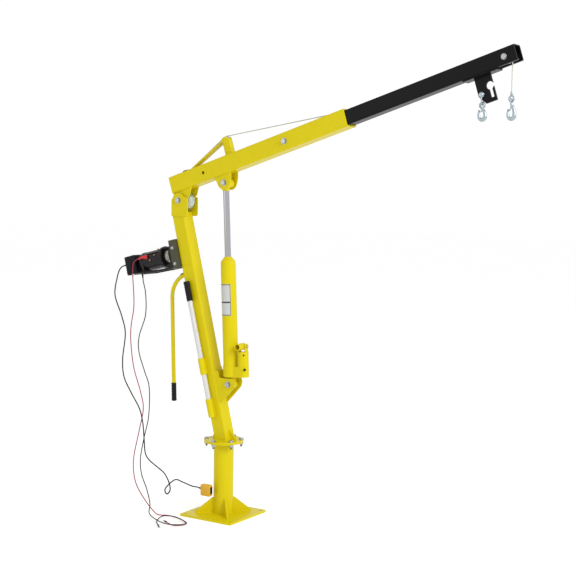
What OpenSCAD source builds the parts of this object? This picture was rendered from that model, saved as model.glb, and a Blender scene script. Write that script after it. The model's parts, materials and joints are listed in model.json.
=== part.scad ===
// Hydraulic pickup jib crane with an electric rope winch.
// Origin: centre of the base plate's underside. +Z up, +X towards the boom tip.
// Units are millimetres.

/* [Base] */
// Side of the square base plate
plate_w = 250; // [200:5:300]
// Thickness of the base plate
plate_t = 8; // [6:1:12]
// Corner radius of the base plate
plate_r = 6; // [2:1:15]
// Distance between the anchor bolt holes
anchor_pitch = 214; // [180:2:230]
// Diameter of the anchor bolt holes
anchor_d = 13; // [10:1:16]
// Outer diameter of the post
post_d = 80; // [70:1:90]
// Wall of the post
post_wall = 5; // [4:0.5:7]
// Height of the post's top above the floor
post_top = 270; // [240:5:320]
// Radial reach of the post gussets from the post's axis
gusset_reach = 112; // [95:1:120]
// Height of the post gussets on the post
gusset_h = 62; // [40:1:80]
// Height of the gussets' outer nose
gusset_nose = 8; // [4:1:12]
// Thickness of the gussets
gusset_t = 6; // [4:1:8]

/* [Swivel] */
// Diameter of the mast flange
flange_d = 160; // [150:1:180]
// Thickness of each flange disc
flange_t = 5; // [4:0.5:7]
// Height of the hub between the post and the lower flange disc
hub_h = 25; // [18:1:40]
// Diameter of the collar under the lower flange disc
collar_d = 104; // [90:1:112]
// Thickness of the collar
collar_t = 6; // [4:0.5:9]
// Length of the spigot inside the post
spigot_len = 95; // [60:5:150]
// Wall of the spigot
spigot_wall = 7; // [5:0.5:10]
// Bolt circle of the flange bolts
flange_pcd = 140; // [132:1:144]
// Number of flange bolts
flange_bolts = 6; // [4:1:8]
// Diameter of the flange bolt holes
flange_hole_d = 11; // [9:0.5:12]
// Running clearance of pins and spigots, on the radius
run = 0.05; // [0.02:0.01:0.1]
// Gap between faces that slide on each other
face_gap = 0.3; // [0.2:0.05:0.4]

/* [Mast] */
// Side of the square mast tube
mast_w = 60; // [56:1:66]
// Wall of the mast tube
mast_wall = 4; // [3:0.5:5]
// Outer corner radius of the mast tube
mast_r = 6; // [5:0.5:8]
// Length of the mast tube along its axis
mast_len = 925; // [900:1:932]
// Angle by which the mast leans back
mast_lean = 14; // [12:0.5:16]
// Forward shift of the mast's foot from the swivel axis
mast_x = 5; // [0:1:10]
// Height of the foot ribs above the flange
rib_h = 40; // [25:1:60]
// Thickness of the foot ribs
rib_t = 6; // [4:1:8]

/* [Head and pivot] */
// Boom pivot above the mast tube's end, along the mast
pivot_over = 50.93; // [45:0.01:54]
// Boom pivot in front of the mast's axis, square to the mast
pivot_off = 19.68; // [16:0.01:24]
// Thickness of the head cheeks
cheek_t = 6; // [4:0.5:8]
// Radius of the cheeks' round top
cheek_top_r = 29; // [24:0.5:29]
// Cheek edge behind the pivot
cheek_back = 34; // [30:1:36]
// Cheek edge in front of the pivot
cheek_front = 46; // [40:1:50]
// Cheek depth below the pivot
cheek_drop = 63; // [50:1:75]
// Diameter of the three pivot pins
pin_d = 16; // [12:1:18]
// Diameter of the pins' heads across corners
head_d = 28; // [24:1:30]
// Thickness of the pins' heads
head_t = 8; // [6:1:10]
// Radius of the head sheave
sheave_r = 42; // [38:0.5:43]
// Width of the head sheave's rim
sheave_w = 32; // [24:1:32]

/* [Boom] */
// Side of the square boom tube
boom_w = 68; // [66:1:70]
// Wall of the boom tube
boom_wall = 5; // [4:0.5:5]
// Outer corner radius of the boom tube
boom_r = 6; // [5.5:0.5:8]
// Length of the boom tube
boom_len = 850; // [800:5:900]
// Boom tube behind the pivot
boom_back = 22; // [15:1:24]
// Height of the boom axis over the pivot
boom_over = 69; // [69:0.5:72]
// Elevation of the boom at rest
boom_angle = 17.65; // [16:0.05:19]
// Gap between the two boom ears
ear_gap = 42; // [42:1:42.5]
// Thickness of the boom ears and of the jack brackets
ear_t = 5; // [4:0.5:5.5]
// Radius of the ears' round ends
ear_r = 26; // [22:0.5:28]
// Reach of the ears along the boom's underside
ear_reach = 72; // [60:1:80]
// Diameter of the two lock holes
lock_hole_d = 13; // [10:0.5:16]
// First lock hole, along the boom from the pivot
lock_back = 150; // [140:1:160]
// Distance between the lock holes, which is the extension's travel
lock_pitch = 400; // [380:5:410]

/* [Rope strut] */
// Rear face of the strut, along the boom from the pivot
strut_x = 264; // [250:1:280]
// Depth of the strut channel
strut_d = 22; // [20:1:28]
// Width of the strut channel
strut_w = 30; // [28:1:34]
// Height of the strut over the boom
strut_h = 72; // [60:1:80]
// Plate of the strut channel
strut_t = 3; // [2:0.5:4]
// Radius of the strut roller
roller_r = 10; // [8:0.5:11]
// Foot of the brace, along the boom from the pivot
brace_x = 46; // [40:1:60]
// Depth of the brace bars
brace_d = 12; // [8:1:16]
// Diameter of the wire rope
rope_d = 4.5; // [4:0.5:5]

/* [Extension] */
// Side of the square extension tube
ext_w = 56; // [55:0.5:56.5]
// Wall of the extension tube
ext_wall = 4; // [3:0.5:5]
// Length of the extension tube
ext_len = 1002; // [960:2:1010]
// Length of the extension inside the boom at rest
ext_in = 316; // [280:2:340]
// Width of the rope slots
rope_slot_w = 12; // [10:1:16]
// Radius of the tip roller
tip_roller_r = 22; // [18:0.5:22]
// Tip roller axle behind the extension's end
tip_axle_back = 44; // [40:1:60]

/* [Jack] */
// Jack foot pin, forward of the swivel axis
foot_x = 35; // [32:1:38]
// Jack foot pin, height above the floor
foot_z = 533; // [529:1:537]
// Head pin in front of the rod eye's centre at rest
eye_front = 7.9; // [6:0.1:10]
// Head pin above the rod eye's centre at rest
eye_over = 2.4; // [1:0.1:3]
// Diameter of the jack barrel
barrel_d = 60; // [54:1:64]
// Top of the barrel above the foot pin
barrel_top = 505; // [480:1:520]
// Diameter of the jack rod
rod_d = 25; // [20:1:28]
// Half of the rod eye's length, across the jack
eye_half = 30; // [29:0.5:32]
// Half of the rod eye's height, along the jack
eye_r = 18; // [16:0.5:20]
// Play of the head pin along the rod eye's slot, to either side
eye_play = 13; // [12.5:0.5:14]
// Play of the head pin across the slot, to either side
eye_lift = 3; // [2.5:0.5:4]
// Thickness of the rod eye and of the jack foot lug
eye_t = 30; // [24:1:31]
// Jack head pin, along the boom from the pivot
head_pin_x = 230; // [228:0.5:232]
// Jack head pin, above the pivot across the boom
head_pin_z = 3.5; // [2:0.5:5]
// Radius of the jack brackets' round ends
bracket_r = 28; // [24:0.5:30]
// Diameter of the pump cylinder
pump_d = 44; // [36:1:48]
// Pump cylinder axis in front of the barrel's axis
pump_x = 60; // [56:1:64]
// Top of the pump cylinder above the foot pin
pump_top = 130; // [115:1:140]

/* [Winch] */
// Winch axis, along the mast
winch_s = 770; // [760:1:780]
// Height of the winch bracket
bracket_h = 115; // [100:1:120]
// Width of the winch bracket
bracket_w = 88; // [80:1:100]
// Depth of the winch bracket
bracket_d = 33; // [28:1:40]
// Plate of the winch bracket
bracket_t = 4; // [3:0.5:6]
// Diameter of the winch gearbox
gear_d = 90; // [80:1:96]
// Length of the winch gearbox
gear_len = 12; // [8:1:16]
// Free length of the rope drum between gearbox and motor
drum_len = 40; // [36:1:60]
// Diameter of the drum flanges
drum_d = 64; // [56:1:68]
// Diameter of the winch motor
motor_d = 80; // [70:1:86]
// Length of the winch motor
motor_len = 142; // [120:1:150]
// Length of the control box
box_len = 53; // [50:1:70]
// Height of the control box
box_h = 78; // [70:1:90]
// Width of the control box
box_w = 84; // [70:1:100]

/* [Handles] */
// Diameter of the stored pump handle
handle_d = 20; // [18:1:24]
// Bottom of the pump handle, along the mast
handle_s = 100; // [95:1:110]
// Length of the pump handle without its grip
handle_len = 470; // [440:5:500]
// Length of the pump handle's grip
handle_grip_len = 80; // [70:5:110]
// Diameter of the turning handle's bar
bar_d = 16; // [14:1:18]
// Diameter of the turning handle's grip
bar_grip_d = 21; // [19:1:24]
// Length of the turning handle's grip
bar_grip_len = 75; // [60:5:90]

/* [Hooks] */
// Rear edge of the keyhole plate behind the extension's end
key_back = 178; // [165:1:190]
// Width of the keyhole plate along the boom
key_w = 63; // [56:1:70]
// Depth of the keyhole plate under the extension
key_h = 100; // [90:1:110]
// Thickness of the keyhole plate
key_t = 8; // [6:1:10]
// Radius of the keyhole
key_r = 14; // [11:0.5:16]
// Width of the keyhole's slot
key_slot = 12; // [10:1:14]
// Bar diameter of the hooks
hook_bar = 10; // [8:1:12]
// Inner radius of the hooks' bowl
hook_bowl = 12; // [10:1:16]
// Length of the rope between the tip roller and the hook
drop_len = 128; // [110:1:150]

/* [Hidden] */
$fn = 48;
eps = 1;

flange_base = post_top + face_gap + hub_h;
flange_top = flange_base + 2 * flange_t;
pivot_s = mast_len + pivot_over;
pivot_x = mast_x + pivot_off * cos(mast_lean) - pivot_s * sin(mast_lean);
pivot_z = flange_top + pivot_off * sin(mast_lean) + pivot_s * cos(mast_lean);
boom_z = boom_over;
boom_top = boom_z + boom_w / 2;
boom_low = boom_z - boom_w / 2;
boom_front = boom_len - boom_back;
ext_back = boom_front - ext_in;
ext_tip = ext_back + ext_len;
ext_low = boom_z - ext_w / 2;
rope_r = rope_d / 2;
sheave_root = sheave_r - 6;
sheave_pitch = sheave_root + rope_r + face_gap;
pin_r = pin_d / 2;
ear_in = ear_gap / 2;
ear_out = ear_in + ear_t;
cheek_in = mast_w / 2;
cheek_out = cheek_in + cheek_t;

// A point of the boom's frame, in the shared frame
function boom_to_world(p) = [
  pivot_x + p[0] * cos(boom_angle) - p[2] * sin(boom_angle),
  p[1],
  pivot_z + p[0] * sin(boom_angle) + p[2] * cos(boom_angle)
];

// The jack reaches from its foot pin to the boom's head pin
head_pin_at = boom_to_world([head_pin_x, 0, head_pin_z]);
jack_run = head_pin_at - [foot_x + eye_front, 0, foot_z + eye_over];
jack_len = norm(jack_run);
jack_lean = atan2(-jack_run[0], jack_run[2]);

// ---- placing -------------------------------------------------------------

// Mast frame: z runs along the mast axis from the flange, x points forward
module at_mast() {
  translate([mast_x, 0, flange_top])
    rotate([0, -mast_lean, 0])
      children();
}

// Boom frame: x runs along the boom from the pivot, z stands square to it
module at_boom() {
  translate([pivot_x, 0, pivot_z])
    rotate([0, -boom_angle, 0])
      children();
}

// Jack frame: z runs along the jack from the foot pin
module at_jack() {
  translate([foot_x, 0, foot_z])
    rotate([0, -jack_lean, 0])
      children();
}

// Turns a profile drawn in x and z into a plate between y0 and y0 + t
module plate_xz(y0, t) {
  translate([0, y0 + t, 0])
    rotate([90, 0, 0])
      linear_extrude(t)
        children();
}

// ---- plain shapes --------------------------------------------------------

module rounded(w, h, r) {
  union() {
    square([w - 2 * r, h], center = true);
    square([w, h - 2 * r], center = true);
    for (sx = [-1, 1])
      for (sy = [-1, 1])
        translate([sx * (w / 2 - r), sy * (h / 2 - r)])
          circle(r = r);
  }
}

module square_tube(w, wall, r, len) {
  linear_extrude(len)
    difference() {
      rounded(w, w, r);
      rounded(w - 2 * wall, w - 2 * wall, max(r - wall, 0.5));
    }
}

// Cylinder along y, centred on y = 0
module cross_pin(r, len) {
  rotate([90, 0, 0])
    cylinder(r = r, h = len, center = true);
}

// Pin along y with a hexagon head and a nut outside two plates
module bolt_pin(half) {
  cross_pin(pin_r, 2 * (half + head_t + 4));
  for (side = [-1, 1])
    translate([0, side * (half + head_t / 2), 0])
      rotate([90, 0, 0])
        cylinder(d = head_d, h = head_t, center = true, $fn = 6);
}

// Round bar from point a to point b, run on past both by over
module bar(a, b, r, over = 0) {
  d = b - a;
  len = norm(d);
  turn = atan2(d[1], d[0]);
  tilt = acos(d[2] / len);
  translate(a)
    rotate([0, tilt, turn])
      translate([0, 0, -over])
        cylinder(r = r, h = len + 2 * over);
}

// Bent rope through a list of points
module rope_bars(points) {
  for (i = [0 : len(points) - 2])
    bar(points[i], points[i + 1], rope_r, rope_r / 2);
}

// Flat shape with round ends, 2 * half long and 2 * high tall
module oblong(half, high) {
  square([2 * (half - high), 2 * high], center = true);
  for (side = [-1, 1])
    translate([side * (half - high), 0])
      circle(r = high);
}

// ---- cords ---------------------------------------------------------------

function spline(a, b, c, d, t) =
  0.5 * (2 * b + (c - a) * t + (2 * a - 5 * b + 4 * c - d) * t * t
  + (3 * b - a - 3 * c + d) * t * t * t);
function route(p, n) = [
  for (i = [0 : len(p) - 2])
    for (k = [0 : n - 1])
      spline(p[max(i - 1, 0)], p[i], p[i + 1], p[min(i + 2, len(p) - 1)], k / n),
  p[len(p) - 1]
];
function unit(v) = v / norm(v);
function way(q, i) = unit(q[min(i + 1, len(q) - 1)] - q[max(i - 1, 0)]);
function side_of(t, s) = unit(s - (s * t) * t);
function sides(q, i, s) =
  i >= len(q) ? [] : let (n = side_of(way(q, i), s)) concat([n], sides(q, i + 1, n));

module cord(points, steps, r) {
  q = route(points, steps);
  s = sides(q, 0, [0.3, 1, 0.2]);
  m = 8;
  rings = [
    for (i = [0 : len(q) - 1])
      let (u = s[i], v = cross(way(q, i), u))
        for (k = [0 : m - 1])
          q[i] + r * (cos(360 * k / m) * u + sin(360 * k / m) * v)
  ];
  last = (len(q) - 1) * m;
  faces = concat(
    [[for (k = [0 : m - 1]) k]],
    [for (i = [0 : len(q) - 2])
      for (k = [0 : m - 1])
        [i * m + k, (i + 1) * m + k, (i + 1) * m + (k + 1) % m]],
    [for (i = [0 : len(q) - 2])
      for (k = [0 : m - 1])
        [i * m + k, (i + 1) * m + (k + 1) % m, i * m + (k + 1) % m]],
    [[for (k = [m - 1 : -1 : 0]) last + k]]
  );
  polyhedron(points = rings, faces = faces, convexity = 6);
}

// ---- base ----------------------------------------------------------------

module base_plate() {
  color("gold")
    difference() {
      linear_extrude(plate_t)
        rounded(plate_w, plate_w, plate_r);
      for (sx = [-1, 1])
        for (sy = [-1, 1])
          translate([sx * anchor_pitch / 2, sy * anchor_pitch / 2, -eps])
            cylinder(d = anchor_d, h = plate_t + 2 * eps);
    }
}

module post() {
  color("gold")
    translate([0, 0, plate_t])
      difference() {
        cylinder(d = post_d, h = post_top - plate_t);
        translate([0, 0, -eps])
          cylinder(d = post_d - 2 * post_wall, h = post_top + eps);
      }
}

module post_gussets() {
  inner = post_d / 2 - 3;
  color("gold")
    for (turn = [45 : 90 : 315])
      rotate([0, 0, turn])
        difference() {
          translate([0, 0, plate_t])
            plate_xz(-gusset_t / 2, gusset_t)
              polygon([
                [inner, 0], [gusset_reach, 0], [gusset_reach, gusset_nose],
                [post_d / 2 + 5, gusset_h], [inner, gusset_h]
              ]);
          cylinder(d = post_d, h = post_top);
        }
}

// ---- swivel --------------------------------------------------------------

module flange_holes() {
  for (i = [0 : flange_bolts - 1])
    rotate([0, 0, 360 * (i + 0.5) / flange_bolts])
      translate([flange_pcd / 2, 0, flange_base - eps])
        cylinder(d = flange_hole_d, h = 2 * flange_t + 2 * eps);
}

module swivel_hub() {
  spigot_r = post_d / 2 - post_wall - run;
  low = post_top + face_gap;
  color("gold")
    difference() {
      rotate_extrude()
        polygon([
          [spigot_r - spigot_wall, low - spigot_len], [spigot_r, low - spigot_len],
          [spigot_r, low], [post_d / 2, low],
          [post_d / 2, flange_base - collar_t], [collar_d / 2, flange_base - collar_t],
          [collar_d / 2, flange_base], [flange_d / 2 - 2, flange_base],
          [flange_d / 2 - 2, flange_base + flange_t],
          [spigot_r - spigot_wall, flange_base + flange_t]
        ]);
      flange_holes();
    }
}

module mast_solid() {
  at_mast()
    translate([0, 0, -2 * mast_w])
      linear_extrude(mast_len + 2 * mast_w)
        rounded(mast_w, mast_w, mast_r);
}

module mast_flange() {
  face = mast_w / 2 / cos(mast_lean);
  back = mast_x - face;
  front = mast_x + face;
  color("gold")
    difference() {
      union() {
        translate([0, 0, flange_top - flange_t])
          cylinder(d = flange_d, h = flange_t);
        translate([0, 0, flange_top])
          plate_xz(-rib_t / 2, rib_t)
            polygon([
              [back + 8, 0], [back - 24, 0], [back - 26, 8],
              [back - rib_h * tan(mast_lean) - 3, rib_h], [back + 8, rib_h]
            ]);
        translate([0, 0, flange_top])
          plate_xz(-rib_t / 2, rib_t)
            polygon([
              [front - 18, 0], [front + 24, 0], [front + 26, 8],
              [front - rib_h * tan(mast_lean) + 6, rib_h], [front - 18, rib_h]
            ]);
      }
      difference() {
        mast_solid();
        cylinder(d = 2 * flange_d, h = flange_top);
      }
      flange_holes();
    }
}

// ---- mast ----------------------------------------------------------------

module mast_tube() {
  slot_low = winch_s + 20;
  color("gold")
    difference() {
      at_mast()
        translate([0, 0, -mast_w])
          square_tube(mast_w, mast_wall, mast_r, mast_len + mast_w);
      cylinder(d = 2 * flange_d, h = flange_top);
      at_mast()
        translate([-mast_w, -rope_slot_w / 2, slot_low])
          cube([mast_w, rope_slot_w, 60]);
    }
}

module cheek_profile() {
  circle(r = cheek_top_r);
  polygon([
    [-cheek_back, -cheek_drop], [cheek_front - 6, -cheek_drop],
    [cheek_front, 6 - cheek_drop], [cheek_front, 12], [24, 16],
    [-24, 16], [-cheek_back, 2]
  ]);
}

module head_cheeks() {
  color("gold")
    translate([pivot_x, 0, pivot_z])
      for (y0 = [-cheek_out, cheek_in])
        plate_xz(y0, cheek_t)
          difference() {
            cheek_profile();
            circle(r = pin_r + run);
          }
}

module pivot_pin() {
  color("silver")
    translate([pivot_x, 0, pivot_z])
      bolt_pin(cheek_out);
}

module head_sheave() {
  half = sheave_w / 2;
  boss = ear_in - face_gap;
  color("lightgray")
    translate([pivot_x, 0, pivot_z])
      rotate([90, 0, 0])
        rotate_extrude()
          polygon([
            [pin_r + run, -boss], [pin_r + 6, -boss], [pin_r + 6, -half],
            [sheave_r, -half], [sheave_r, 4 - half], [sheave_root, -rope_r],
            [sheave_root, rope_r], [sheave_r, half - 4],
            [sheave_r, half], [pin_r + 6, half], [pin_r + 6, boss], [pin_r + run, boss]
          ]);
}

module jack_bracket_plates(y_in, t) {
  for (y0 = [-y_in - t, y_in])
    plate_xz(y0, t)
      children();
}

// Jack foot pin, in the mast's frame
foot_s = -(foot_x - mast_x) * sin(mast_lean) + (foot_z - flange_top) * cos(mast_lean);
foot_n = (foot_x - mast_x) * cos(mast_lean) + (foot_z - flange_top) * sin(mast_lean);

// Rope from the drum, through the slot in the mast and up behind the sheave
module mast_rope() {
  n1 = pivot_off - sheave_pitch;
  drum_n = -mast_w / 2 - bracket_d - gear_len - 12;
  s1 = winch_s + 55;
  color("gray")
    at_mast() {
      bar([n1, 0, s1 - 1], [n1, 0, pivot_s], rope_r);
      bar([drum_n, 0, winch_s + 24], [n1, 0, s1], rope_r - 0.2);
    }
}

module jack_foot_bracket() {
  face = mast_w / 2;
  color("gold")
    at_mast()
      jack_bracket_plates(ear_in, ear_t)
        translate([foot_n, foot_s])
          difference() {
            polygon([
              [face - foot_n, -70], [0, -35], [28, -16], [36, 0], [36, 15], [-36, 33],
              [-36, 54], [-44, 62], [face - foot_n, 64]
            ]);
            circle(r = pin_r + run);
          }
}

module jack_foot_pin() {
  color("silver")
    translate([foot_x, 0, foot_z])
      rotate([0, -mast_lean, 0])
        bolt_pin(ear_out);
}

// ---- winch ---------------------------------------------------------------

bracket_back = -mast_w / 2 - bracket_d;
gear_back = bracket_back - gear_len;
drum_back = gear_back - drum_len;
motor_back = drum_back - motor_len;

// Cylinder along the mast's x axis, from n0 back to n1
module winch_round(n0, n1, d) {
  translate([n1, 0, winch_s])
    rotate([0, 90, 0])
      cylinder(d = d, h = n0 - n1);
}

module winch_bracket() {
  color("darkolivegreen")
    at_mast()
      difference() {
        translate([bracket_back, -bracket_w / 2, winch_s - bracket_h / 2])
          cube([bracket_d, bracket_w, bracket_h]);
        translate([bracket_back + bracket_t, bracket_t - bracket_w / 2, winch_s - bracket_h])
          cube([bracket_d - 2 * bracket_t, bracket_w - 2 * bracket_t, 2 * bracket_h]);
        translate([bracket_back - eps, -rope_slot_w / 2, winch_s + 10])
          cube([bracket_d + 2 * eps, rope_slot_w, bracket_h]);
      }
}

module winch_gearbox() {
  color("dimgray")
    at_mast() {
      difference() {
        winch_round(bracket_back, gear_back, gear_d);
        translate([gear_back - eps, -rope_slot_w / 2, winch_s + 16])
          cube([gear_len + 2 * eps, rope_slot_w, gear_d]);
      }
      for (a = [60, 120, 240, 300])
        rod_at(a);
    }
}

// Tie rod between gearbox and motor
module rod_at(a) {
  off = drum_d / 2 + 8;
  translate([drum_back, off * cos(a), winch_s + off * sin(a)])
    rotate([0, 90, 0])
      cylinder(d = 6, h = drum_len);
}

module rope_drum() {
  core = 40;
  color("dimgray")
    at_mast() {
      winch_round(gear_back - face_gap, drum_back + face_gap, core);
      winch_round(drum_back + 5, drum_back + face_gap, drum_d);
    }
}

module winch_motor() {
  color("black")
    at_mast() {
      winch_round(drum_back, drum_back - 14, gear_d);
      winch_round(drum_back - 14, motor_back + 14, motor_d);
      winch_round(motor_back + 14, motor_back, motor_d - 20);
    }
}

module control_box() {
  color("black")
    at_mast()
      translate([motor_back - box_len, -box_w / 2, winch_s - box_h / 2])
        cube([box_len, box_w, box_h]);
}

// Rubber boot over the motor's terminal, seated on the motor
module terminal_boot() {
  color("red")
    at_mast()
      difference() {
        translate([motor_back + 34, -motor_d / 2 - 5, winch_s + 16])
          rotate([0, 90, 0])
            cylinder(d1 = 12, d2 = 22, h = 34);
        winch_round(0, motor_back, motor_d);
      }
}

// ---- handles -------------------------------------------------------------

handle_n = -10;
holder_wall = 3;
holder_r = handle_d / 2 + run + holder_wall;
handle_y = -mast_w / 2 - holder_r - 0.5;

module pump_handle() {
  color("white")
    at_mast()
      translate([handle_n, handle_y, handle_s])
        cylinder(d = handle_d, h = handle_len);
}

module pump_handle_grip() {
  color("black")
    at_mast()
      translate([handle_n, handle_y, handle_s + handle_len])
        cylinder(d = handle_d + 5, h = handle_grip_len);
}

// Ring clip and cup, both on the mast's side
module handle_holder(s, len) {
  difference() {
    union() {
      translate([handle_n, handle_y, s])
        cylinder(r = holder_r, h = len);
      translate([handle_n - 8, handle_y, s])
        cube([16, -mast_w / 2 - handle_y, len]);
    }
    translate([handle_n, handle_y, s + holder_wall])
      cylinder(r = handle_d / 2 + run, h = len);
  }
}

module handle_holders() {
  cup_len = 74;
  clip_up = 170;
  clip_len = 66;
  color("gold")
    at_mast() {
      handle_holder(handle_s - holder_wall, cup_len);
      difference() {
        handle_holder(handle_s + clip_up, clip_len);
        translate([handle_n, handle_y, handle_s])
          cylinder(r = handle_d / 2 + run, h = handle_len);
      }
    }
}

bar_y = -16;
bar_bend = [-254, bar_y, 862];
bar_drop = 350;
bar_swing = 98;
bar_turn = 84;
bar_slant = 1.7;

// Turning handle's frame: at the lower end of its bend, z up along the bar
module at_bar() {
  translate(bar_bend)
    rotate([0, -bar_slant, 0])
      children();
}

// Its bend runs on into the mast's rear face, where it's cut off
module turning_handle() {
  color("gold")
    difference() {
      at_bar() {
        translate([0, 0, -bar_drop])
          cylinder(d = bar_d, h = bar_drop);
        translate([bar_swing, 0, 0])
          rotate([90, 0, 180])
            rotate_extrude(angle = bar_turn)
              translate([bar_swing, 0])
                circle(d = bar_d);
      }
      at_mast()
        translate([-mast_w / 2, -mast_w / 2, 0])
          cube([mast_w, mast_w, mast_len]);
    }
}

module turning_handle_grip() {
  color("black")
    at_bar()
      translate([0, 0, -bar_drop - bar_grip_len])
        cylinder(d = bar_grip_d, h = bar_grip_len);
}

// ---- cords and pendant ---------------------------------------------------

lead_d = 4;
pendant_d = 5;

red_route = [
  [-401.7, -45, 1013.9], [-414, -47, 1011], [-424, -51, 1003], [-431, -54, 985], [-431, -55, 940], [-427, -54, 880],
  [-426, -54, 810], [-422, -78, 708], [-390, -98, 580],
  [-348, -104, 480], [-325, -112, 410], [-324, -138, 325], [-325, -170, 222], [-313, -184, 157],
  [-293, -188, 109], [-262, -182, 62], [-228, -176, 24], [-200, -170, 3], [-160, -158, 3],
  [-112, -162, 3], [-52, -188, 3], [-24, -224, 3], [-52, -256, 3], [-112, -232, 3]
];
black_route = [
  [-430, 6, 949.4], [-424, 4, 918], [-404, -4, 863], [-390, -22, 779], [-398, -52, 695], [-387, -66, 631],
  [-354, -70, 555], [-326, -74, 492], [-308, -98, 380], [-308, -128, 290], [-302, -156, 215],
  [-290, -164, 155], [-266, -160, 95], [-244, -166, 41], [-228, -190, 10], [-160, -242, 10],
  [-80, -276, 10], [-30, -262, 10], [-10, -228, 10], [-56, -196, 10], [-118, -176, 10],
  [-152, -200, 10], [-130, -262, 8], [-90, -300, 3]
];
pendant_route = [
  [-483.8, -28, 982], [-497, -32, 980], [-508, -44, 968], [-508, -62, 935], [-498, -88, 862], [-455, -96, 779], [-425, -108, 709],
  [-420, -130, 607], [-404, -140, 537], [-366, -140, 475], [-322, -140, 414], [-299, -146, 358],
  [-288, -150, 289], [-280, -152, 238], [-262, -148, 211], [-228, -138, 185], [-200, -130, 163],
  [-178, -128, 130], [-168, -132, 100], [-176, -142, 84], [-186, -140, 104], [-160, -112, 138],
  [-130, -98, 130], [-97, -82, 116], [-78, -70, 112], [-62, -62, 106]
];

module red_lead() {
  color("red")
    cord(red_route, 4, lead_d / 2);
}

module black_lead() {
  color("black")
    cord(black_route, 3, lead_d / 2);
}

module pendant_cable() {
  color("black")
    cord(pendant_route, 3, pendant_d / 2);
}

module pendant() {
  color("orange")
    translate([-38, -62, 104])
      cube([48, 24, 46], center = true);
}

// ---- boom ----------------------------------------------------------------

module boom_tube() {
  color("gold")
    at_boom()
      difference() {
        translate([-boom_back, 0, boom_z])
          rotate([90, 0, 90])
            square_tube(boom_w, boom_wall, boom_r, boom_len);
        translate([-boom_back - eps, -ear_in, boom_low - eps])
          cube([boom_back + sheave_r, ear_gap, boom_wall + 2 * eps]);
        translate([rope_bend[0] - 2, -rope_slot_w / 2, boom_top - boom_wall - eps])
          cube([back_slot, rope_slot_w, boom_wall + 2 * eps]);
        translate([front_slot, -rope_slot_w / 2, boom_top - boom_wall - eps])
          cube([boom_front - front_slot + eps, rope_slot_w, boom_wall + 2 * eps]);
        for (x = [lock_back, lock_back + lock_pitch])
          translate([x, 0, boom_z])
            cross_pin(lock_hole_d / 2, 2 * boom_w);
      }
}

module ear_profile() {
  circle(r = ear_r);
  polygon([
    [-boom_back, boom_low], [ear_reach, boom_low], [ear_reach - 18, 6],
    [18, -18], [-18, -18], [-ear_r, 0]
  ]);
}

module boom_ears() {
  boss = cheek_in - face_gap;
  color("gold")
    at_boom()
      for (side = [-1, 1])
        difference() {
          union() {
            plate_xz(side > 0 ? ear_in : -ear_out, ear_t)
              ear_profile();
            plate_xz(side > 0 ? ear_out : -boss, boss - ear_out)
              circle(r = pin_r + 6);
          }
          cross_pin(pin_r + run, 4 * boom_w);
        }
}

module jack_head_bracket() {
  color("gold")
    at_boom()
      jack_bracket_plates(ear_in, ear_t)
        difference() {
          union() {
            translate([head_pin_x, head_pin_z])
              circle(r = bracket_r);
            polygon([
              [head_pin_x - 38, boom_low], [head_pin_x + 44, boom_low],
              [head_pin_x + 38, head_pin_z + 10], [head_pin_x + 26, head_pin_z - 12],
              [head_pin_x - 26, head_pin_z - 12]
            ]);
          }
          translate([head_pin_x, head_pin_z])
            circle(r = pin_r + run);
        }
}

module jack_head_pin() {
  color("silver")
    at_boom()
      translate([head_pin_x, 0, head_pin_z])
        bolt_pin(ear_out);
}

roller_x = strut_x + 10;
roller_z = boom_top + strut_h - 8;
roller_pin_r = 4;

module strut_side() {
  top = boom_top + strut_h;
  rise = strut_h - brace_d;
  polygon([
    [strut_x, boom_top], [strut_x + strut_d, boom_top], [strut_x + strut_d, top], [strut_x, top],
    [brace_x, boom_top], [brace_x + 3 * brace_d, boom_top], [strut_x, boom_top + rise]
  ]);
}

module rope_strut() {
  half = strut_w / 2;
  color("gold")
    at_boom() {
      difference() {
        union() {
          for (y0 = [-half, half - strut_t])
            plate_xz(y0, strut_t)
              strut_side();
          translate([strut_x + strut_d - strut_t, -half, boom_top])
            cube([strut_t, strut_w, strut_h - 26]);
        }
      }
      translate([roller_x, 0, roller_z])
        cross_pin(roller_pin_r, strut_w);
    }
}

module strut_roller() {
  half = strut_w / 2 - strut_t - 1;
  color("silver")
    at_boom()
      translate([roller_x, 0, roller_z])
        rotate([90, 0, 0])
          rotate_extrude()
            polygon([
              [roller_pin_r + run, -half], [roller_r + 2, -half], [roller_r + 2, -half + 2],
              [roller_r, -rope_r - 1], [roller_r, rope_r + 1], [roller_r + 2, half - 2],
              [roller_r + 2, half], [roller_pin_r + run, half]
            ]);
}

rope_over = roller_z + roller_r + rope_r + face_gap;
rope_bend = [34, 0, 94];
rope_end = [boom_front + 22, 0, boom_top - 11];
rope_fall = (rope_over - rope_end[2]) / (rope_end[0] - roller_x);
front_slot = rope_end[0] - (boom_top + 4 - rope_end[2]) / rope_fall;
back_slot = 60;

module boom_rope() {
  turn = 48;
  start = [-sheave_pitch * sin(turn), 0, sheave_pitch * cos(turn)];
  back_top = [roller_x - 4, 0, rope_over - 0.5];
  front_top = [roller_x + 2, 0, rope_over];
  color("gray")
    at_boom()
      rope_bars([start, rope_bend, back_top, front_top, rope_end]);
}

module lock_screw() {
  side = -boom_w / 2;
  color("silver")
    at_boom()
      translate([lock_back + lock_pitch, 0, boom_z]) {
        translate([0, side - 2, 0])
          cross_pin(12, 4);
        translate([0, side - 8, 0])
          rotate([90, 0, 0])
            cylinder(d = 19, h = 8, center = true, $fn = 6);
        translate([0, (side - ext_w / 2) / 2 - face_gap, 0])
          cross_pin(lock_hole_d / 2 - 0.5, (boom_w - ext_w) / 2 - face_gap);
      }
}

// ---- extension -----------------------------------------------------------

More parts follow.
